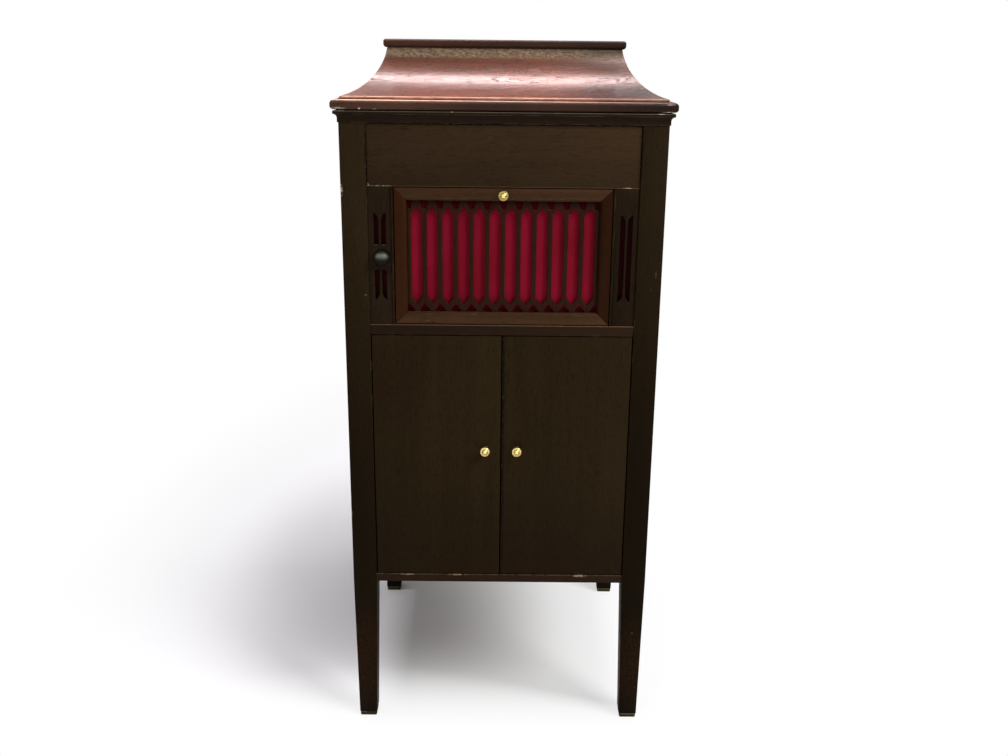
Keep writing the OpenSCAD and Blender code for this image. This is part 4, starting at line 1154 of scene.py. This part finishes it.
def stretched_cloth(name: str, low: Span, high: Span, y: float, slack: float) -> Piece:
    """A cloth stretched on the back of a board, a little uneven between its tacks.

    Args:
        name: The object's name.
        low: Its lower left corner, X and Z.
        high: Its upper right corner, X and Z.
        y: The middle of its thickness.
        slack: How far it stands out of its plane.

    Returns:
        The cloth.
    """
    width, height = high[0] - low[0], high[1] - low[1]
    rows = [max(8, round(length / CLOTH_STEP)) for length in (width, height)]
    deselect()
    bpy.ops.mesh.primitive_grid_add(
        x_subdivisions=rows[0], y_subdivisions=rows[1], size=1, rotation=(math.pi / 2, 0, 0),
        location=((low[0] + high[0]) / 2, y, (low[1] + high[1]) / 2))
    bpy.context.object.scale = (width, height, 1)
    cloth = settle(bpy.context.object, name)
    for vertex in cloth.data.vertices:
        u = (vertex.co.x - low[0]) / width
        v = (vertex.co.z - low[1]) / height
        # It is held along its edges and sways between them in waves that run across each other.
        hold = min(1.0, 8 * min(u, 1 - u), 8 * min(v, 1 - v))
        sway = math.sin(11 * u + 3 * v) * math.sin(4 * v + 2 * u) + 0.4 * math.sin(23 * u + 9 * v)
        vertex.co.y += slack * hold * sway * 0.7
    modify(cloth, "SOLIDIFY", thickness=CLOTH_THICK, offset=0)
    smooth(cloth, 60)
    return cloth


# ---- Sub-assemblies ----


@dataclass
class Assembly:
    """A sub-assembly whose pieces ride on one body."""

    body: str

    def dress(self, piece: Piece, finish: Finish, grain: Grain = UP) -> Piece:
        """Gives a piece its finish and puts it on the body.

        Args:
            piece: The piece.
            finish: Its finish.
            grain: The direction of its grain.

        Returns:
            The piece.
        """
        piece.data.materials.clear()
        piece.data.materials.append(finish.material(grain))
        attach(piece, self.body)
        log.info("%s on %s: %d faces", piece.name, self.body, len(piece.data.polygons))
        return piece

    def finish_node(self, node: str, finish: Finish, ease: float = 0.8, grain: Optional[Grain] = None,
                    segments: int = 2) -> list[Piece]:
        """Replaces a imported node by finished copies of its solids.

        Args:
            node: The node's name.
            finish: The finish.
            ease: The width of the eased edges, in millimetres.
            grain: The direction of the grain; each solid's longest side if it isn't given.
            segments: The number of faces across an eased edge.

        Returns:
            The finished pieces.
        """
        parts = loose_parts(copy_node(node))
        for number, part in enumerate(parts, 1):
            part.name = f"finished_{node}" if len(parts) == 1 else f"finished_{node}_{number}"
            part.data.name = part.name
            ease_edges(part, ease * MM, segments)
            smooth(part)
            self.dress(part, finish, grain or longest_side(part))
            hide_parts(node)
        return parts

    def finish_nodes(self, *jobs: tuple[Any, ...]) -> None:
        """Finishes several nodes; a job holds what finish_node takes."""
        for job in jobs:
            self.finish_node(*job)

    def screws(self, name: str, places: Sequence[Point], towards: Grain, sign: int, radius: float,
               finish: Finish) -> None:
        """Adds a set of screws as one piece.

        Args:
            name: The piece's name.
            places: The middle of each head.
            towards: The axis that they face along.
            sign: 1 along the axis, -1 against it.
            radius: Their radius.
            finish: Their finish.
        """
        heads = [screw_head(place, towards, sign, radius) for place in places]
        self.dress(join(heads, name), finish)

    def brass_knob(self, node: str) -> None:
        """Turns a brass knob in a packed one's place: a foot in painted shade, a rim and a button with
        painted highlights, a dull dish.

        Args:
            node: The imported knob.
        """
        for name, (finish, shape) in BRASS_KNOB.items():
            piece = self.dress(turned_knob(node, f"turned_{node}_{name}", shape), finish)
            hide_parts(node)


@dataclass
class Case(Assembly):
    """Posts, panels, rails and boards of the case."""

    body: str = "cabinet"

    def build(self) -> None:
        """Finishes the case's boards."""
        self.finish_nodes(
            ("front_posts", CASE_WOOD, 1.0, UP), ("rear_posts", CASE_WOOD, 1.0, UP),
            ("side_panels", CASE_WOOD, 1.0, UP), ("foot_pads", FOOT_WOOD, 2.4, None, 3),
            ("back_panel", INNER_WOOD, 0.6, UP), ("back_top_rail", CASE_WOOD, 0.6, ACROSS),
            ("apron", APRON_WOOD, 1.2, ACROSS), ("rim_moulding", MOULDING_WOOD, 0.5),
            ("mid_rail", RAIL_WOOD, 1.0, ACROSS), ("bottom_rail", RAIL_WOOD, 1.0, ACROSS),
            ("shelf_boards", INNER_WOOD, 0.6, DEEP), ("record_dividers", INNER_WOOD, 0.6, DEEP),
            ("door_catches", OLD_BRASS, 0.0), ("door_pivot_pins", IRON, 0.0),
            ("grille_pivot_pins", IRON, 0.0))


@dataclass
class Stiles(Assembly):
    """The fretted stiles and beads beside the grille, and the cloth behind them."""

    body: str = "cabinet"
    hem: float = 2 * MM
    slack: float = 0.4 * MM

    def build(self) -> None:
        """Finishes the stiles and hangs their cloths."""
        self.finish_nodes(
            ("left_fret_stile", STILE_WOOD, 0.5, UP), ("right_fret_stile", STILE_WOOD, 0.5, UP),
            ("cock_beads", STILE_WOOD, 0.7, UP))
        low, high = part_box("stile_cloths")
        width = high.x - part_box("right_fret_stile")[0].x - self.hem
        for side, name in ((-1, "left"), (1, "right")):
            middle = side * (high.x - width / 2)
            cloth = stretched_cloth(
                f"{name}_stile_cloth", (middle - width / 2, low.z), (middle + width / 2, high.z),
                (low.y + high.y) / 2, self.slack)
            # The cloth behind each stile is in painted shade.
            self.dress(cloth, SHADED_CLOTH)
            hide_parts("stile_cloths")


@dataclass
class Door(Assembly):
    """A cupboard door with its knob."""

    side: str = "left"

    def build(self) -> None:
        """Finishes the door and turns its knob."""
        self.finish_node(f"{self.side}_door", DOOR_WOOD, 1.0, UP)
        self.brass_knob(f"{self.side}_door_knob")


@dataclass
class Grille(Assembly):
    """The drop-front grille: frame, fret, cloth and knob."""

    body: str = "grille"
    slack: float = 0.3 * MM

    def build(self) -> None:
        """Finishes the frame and the fret and stretches the cloth."""
        for member in self.finish_node("grille_frame", GRILLE_RAIL, 0.6):
            if longest_side(member) is UP:
                self.dress(member, GRILLE_UPRIGHT)
        self.finish_node("grille_fret", FRET_WOOD, 0.45, UP)
        low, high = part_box("grille_cloth")
        cloth = stretched_cloth(
            "grille_cloth_panel", (low.x, low.z), (high.x, high.z), (low.y + high.y) / 2, self.slack)
        self.dress(cloth, RED_CLOTH)
        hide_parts("grille_cloth")
        self.brass_knob("grille_knob")


@dataclass
class Volume(Assembly):
    """The volume knob, its shaft and the mute flap."""

    body: str = "volume_control"
    dome_start: float = 0.48

    def build(self) -> None:
        """Finishes the volume control."""
        start = self.dome_start
        dome = [(math.cos(a), start + (1 - start) * math.sin(a)) for a in np.linspace(0.0, 1.52, 14)]
        knob = self.dress(turned_knob("volume_knob", "turned_volume_knob", BLACK_KNOB_FOOT + dome), BLACK)
        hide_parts("volume_knob")
        # The mute flap's cloth is in painted shade.
        self.finish_nodes(("volume_shaft", STEEL, 0.3), ("mute_flap", SHADED_CLOTH, 1.2, None, 3))


@dataclass
class Horn(Assembly):
    """The wooden horn behind the grille and its iron elbow."""

    body: str = "cabinet"

    def build(self) -> None:
        """Finishes the horn."""
        self.finish_nodes(
            ("volume_bush", BUSH, 0.2), ("horn_mouth_frame", INNER_WOOD, 0.8),
            ("horn_boards", INNER_WOOD, 0.6, DEEP), ("horn_elbow", IRON, 0.4))


@dataclass
class MotorBoard(Assembly):
    """The motor board and what is fixed on it."""

    body: str = "cabinet"
    inset: float = 14 * MM
    board_screw: float = 3 * MM
    base_screw: float = 2 * MM
    base_flange: float = 4 * MM
    base_rim: float = 4.5 * MM
    plate_screw: float = 2.2 * MM
    plate_reach: float = 14.5 * MM

    def build(self) -> None:
        """Finishes the board, its bowls and the tone arm's base."""
        self.finish_nodes(
            ("motor_board", BOARD_WOOD, 0.5, ACROSS), ("motor_board_battens", INNER_WOOD, 0.6),
            ("needle_bowls", NICKEL, 0.25), ("tone_arm_base", NICKEL, 0.4),
            ("crank_escutcheon", OLD_BRASS, 0.5), ("stay_keeper", OLD_BRASS, 0.4))
        self._screws()

    def _screws(self) -> None:
        """Screws the motor board, the arm's base and the escutcheon down."""
        low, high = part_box("motor_board")
        columns = (low.x + self.inset, (low.x + high.x) / 2, high.x - self.inset)
        rows = (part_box("apron")[1].y + self.inset / 2, high.y - self.inset / 2)
        self.screws("motor_board_screws", [(x, y, high.z) for x in columns for y in rows], UP, 1,
                    self.board_screw, OLD_BRASS)
        low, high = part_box("tone_arm_base")
        x, y, _ = (low + high) / 2
        reach = (high.x - low.x) / 2 - self.base_rim
        places = on_circle((x, y, low.z + self.base_flange), UP, reach, (0.5, 2.6, 4.7))
        self.screws("tone_arm_base_screws", places, UP, 1, self.base_screw, NICKEL)
        low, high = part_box("crank_escutcheon")
        _, y, z = (low + high) / 2
        angles = [math.radians(angle) for angle in (90, 210, -30)]
        places = on_circle((high.x, y, z), ACROSS, self.plate_reach, angles)
        self.screws("escutcheon_screws", places, ACROSS, 1, self.plate_screw, OLD_BRASS)


@dataclass
class Works(Assembly):
    """A metal piece of the motor, the arm, a lever or a hinge."""

    node: str = ""
    finish: Finish = STEEL
    edge: float = 0.3

    def build(self) -> None:
        """Finishes the piece."""
        self.finish_node(self.node, self.finish, self.edge)


@dataclass
class Turntable(Assembly):
    """The turntable with its felt and spindle."""

    body: str = "turntable"
    hole: float = 4.5 * MM

    def build(self) -> None:
        """Finishes the turntable and lays its felt."""
        self.finish_nodes(("turntable", NICKEL, 0.4), ("turntable_spindle", STEEL, 0.2))
        low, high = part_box("turntable_felt")
        middle, radius, thick = (low + high) / 2, (high.x - low.x) / 2, high.z - low.z
        outline = [
            (radius, 0.0), (radius, thick * 0.6), (radius * 0.997, thick * 0.95), (radius * 0.99, thick),
            (self.hole * 1.3, thick), (self.hole, thick * 0.9)]
        felt = turned("felt_disc", outline, (middle.x, middle.y, low.z), UP, 1, 128)
        smooth(felt, 40)
        self.dress(felt, GREEN_FELT)
        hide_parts("turntable_felt")


@dataclass
class SoundBox(Assembly):
    """The sound box with its diaphragm and the screws of its ring."""

    body: str = "sound_box"
    ring: float = 5.4 * MM
    depth: float = 3.2 * MM
    screw: float = 1.5 * MM
    screw_rim: float = 2.5 * MM

    def build(self) -> None:
        """Finishes the sound box and adds its small parts."""
        self.finish_node("sound_box", NICKEL, 0.5)
        low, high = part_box("sound_box")
        radius = (high.y - low.y) / 2
        x, y, z = low.x, (low.y + high.y) / 2, high.z - radius
        outline = [
            (radius - self.ring, 0), (radius - self.ring - 0.2 * MM, 0.5 * MM), (radius * 0.45, 0.7 * MM),
            (radius * 0.3, 1.4 * MM), (radius * 0.1, 1.6 * MM)]
        disc = turned("diaphragm", outline, (x + self.depth, y, z), ACROSS, -1, 64)
        smooth(disc, 30)
        self.dress(disc, MICA)
        angles = [math.radians(angle) for angle in (30, 150, 270)]
        places = on_circle((x, y, z), ACROSS, radius - self.screw_rim, angles)
        self.screws("sound_box_screws", places, ACROSS, -1, self.screw, STEEL)


@dataclass
class Lid(Assembly):
    """The coved lid with its hinges and stay."""

    body: str = "lid"

    def build(self) -> None:
        """Finishes the lid."""
        self.finish_nodes(
            ("lid_base_frame", LID_WOOD, 1.0), ("lid_coves", COVE_WOOD, 0.6),
            ("lid_top_board", LID_WOOD, 0.7, ACROSS), ("lid_back_board", LID_WOOD, 0.7, ACROSS),
            ("lid_hinge_leaves", OLD_BRASS, 0.2), ("lid_stay", OLD_BRASS, 0.3))


# ---- Studio ----


@dataclass(frozen=True)
class Lamp:
    """A rectangular lamp: where it hangs, what it shines at, its width and height, and its watts."""

    name: str
    at: Point
    to: Point
    size: Span
    power: float
    colour: Point = (1.0, 1.0, 1.0)

    def hang(self) -> None:
        """Adds the lamp to the scene."""
        deselect()
        bpy.ops.object.light_add(type="AREA", location=self.at)
        lamp = bpy.context.object
        lamp.name = self.name
        lamp.data.shape = "RECTANGLE"
        lamp.data.size, lamp.data.size_y = self.size
        lamp.data.energy = self.power
        lamp.data.color = self.colour
        lamp.visible_camera = False
        lamp.rotation_euler = (Vector(self.to) - Vector(self.at)).to_track_quat("-Z", "Y").to_euler()


@dataclass
class Studio:
    """The camera, the lamps, the floor and the backdrop; its angles are in degrees."""

    picture_width: int = 1008
    focal_pixels: float = 1060.0
    sensor: float = 36.0
    clip: Span = (0.05, 60.0)
    eye: Point = (-2.85 * MM, -1808.75 * MM, 1093.8 * MM)
    yaw: float = 0.244
    pitch: float = 17.07
    roll: float = -0.630
    world_level: float = 0.34
    floor_size: float = 24.0
    floor_level: float = 0.9
    shadow_middle: Point = (-0.25, 0.15, 0.0)
    shadow_reach: Point = (0.62, 1.6, 1.0)
    shadow_fade: Span = (0.1, 1.25)
    shadow_front: Span = (-0.06, -0.28)
    # Where the painted shadow on the floor lies, how far it reaches and how dark it is.
    painted_shadow_middle: Point = (-0.33, 0.4, 0.0)
    painted_shadow_reach: Point = (0.33, 0.65, 0.5)
    painted_shadow_depth: float = 0.24
    lamps: tuple[Lamp, ...] = (
        Lamp("overhead", (-0.06, 0.03, 2.2), (-0.06, -0.13, 1.0), (1.4, 0.36), 42.0, (0.98, 0.93, 1.0)),
        Lamp("right_key", (2.1, -1.6, 2.8), (0.0, 0.0, 0.4), (1.6, 1.6), 105.0),
        Lamp("left_fill", (-1.6, -3.0, 1.8), (0.0, 0.0, 0.6), (1.8, 1.8), 6.0))

    def camera(self) -> None:
        """Places the camera where the picture was taken from."""
        turns = ((-self.yaw, "Z"), (90 - self.pitch, "X"), (-self.roll, "Z"))
        yaw, pitch, roll = (Matrix.Rotation(math.radians(angle), 4, axis) for angle, axis in turns)
        deselect()
        bpy.ops.object.camera_add()
        camera = bpy.context.object
        camera.matrix_world = Matrix.Translation(self.eye) @ yaw @ pitch @ roll
        camera.data.sensor_width = self.sensor
        camera.data.lens = self.focal_pixels / self.picture_width * self.sensor
        camera.data.clip_start, camera.data.clip_end = self.clip
        bpy.context.scene.camera = camera

    def world(self) -> None:
        """Sets a plain world that looks white to the camera, to metal and to glass."""
        bpy.context.scene.world = bpy.data.worlds.new("studio")
        graph = Graph(bpy.context.scene.world)
        rays = ("Is Camera Ray", "Is Glossy Ray", "Is Transmission Ray")
        camera, gloss, glass = (graph.node("LightPath", output=ray) for ray in rays)
        plain, white = (graph.node("Background", {}, {"Color": WHITE, "Strength": strength})
                        for strength in (self.world_level, 1.0))
        seen = camera.most(gloss).most(glass)
        graph.end(graph.node("MixShader", {}, {0: seen, 1: plain, 2: white}), "OutputWorld")

    def floor(self) -> None:
        """Lays a pale floor that keeps the object's shadow, adds a painted shadow and turns white far from
        it.
        """
        deselect()
        bpy.ops.mesh.primitive_plane_add(size=self.floor_size, location=(0, 0, 0))
        floor = settle(bpy.context.object, "studio_floor")
        graph = Graph(bpy.data.materials.new("studio_floor"))
        # A painted shadow: the floor is darker in a soft pool left of and behind the object.
        painted_shadow = graph.reach(self.painted_shadow_middle, self.painted_shadow_reach).step(*SPOT_RIM) * self.painted_shadow_depth
        pale = graph.tint((self.floor_level,) * 3, 1.0 - painted_shadow)
        plain = graph.node("BsdfDiffuse", {}, {"Color": pale})
        white = graph.node("Emission", {}, {"Color": WHITE, "Strength": 1.0})
        fade = graph.reach(self.shadow_middle, self.shadow_reach).step(*self.shadow_fade)
        front = graph.along(DEEP).step(*self.shadow_front)
        shown = graph.node("MixShader", {}, {0: fade.most(front), 1: plain, 2: white})
        camera = graph.node("LightPath", output="Is Camera Ray")
        mixed = graph.node("MixShader", {}, {0: camera, 1: plain, 2: shown})
        floor.data.materials.append(graph.end(mixed, "OutputMaterial"))

    def build(self) -> None:
        """Sets the studio up."""
        bpy.context.scene.view_settings.view_transform = "Standard"
        self.camera()
        self.world()
        self.floor()
        for lamp in self.lamps:
            lamp.hang()


def main() -> None:
    """Builds the studio and every sub-assembly and reports each piece."""
    logging.basicConfig(level=logging.INFO, format="%(message)s")
    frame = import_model()
    Studio().build()
    assemblies: list[Any] = [
        Case(), Stiles(), Door("left_door", "left"), Door("right_door", "right"), Grille(), Volume(), Horn(),
        MotorBoard(), Works("cabinet", "motor_frame", IRON, 0.6),
        Works("cabinet", "case_hinge_leaves", OLD_BRASS), Works("cabinet", "lid_hinge_pins"),
        Works("spring_barrel", "spring_barrel", OLD_BRASS), Works("spring_arbor", "spring_arbor"),
        Works("winding_shaft", "winding_shaft"), Works("governor", "governor", OLD_BRASS), Turntable(),
        Works("tone_arm", "tone_arm", NICKEL, 0.4), SoundBox(),
        Works("brake_lever", "brake_lever", NICKEL, 0.4), Works("speed_lever", "speed_lever", NICKEL, 0.4),
        Lid(),
    ]
    for assembly in assemblies:
        assembly.build()
    log.info("%d packed nodes stood for", len(frame["nodes"]))


if __name__ == "__main__":
    main()
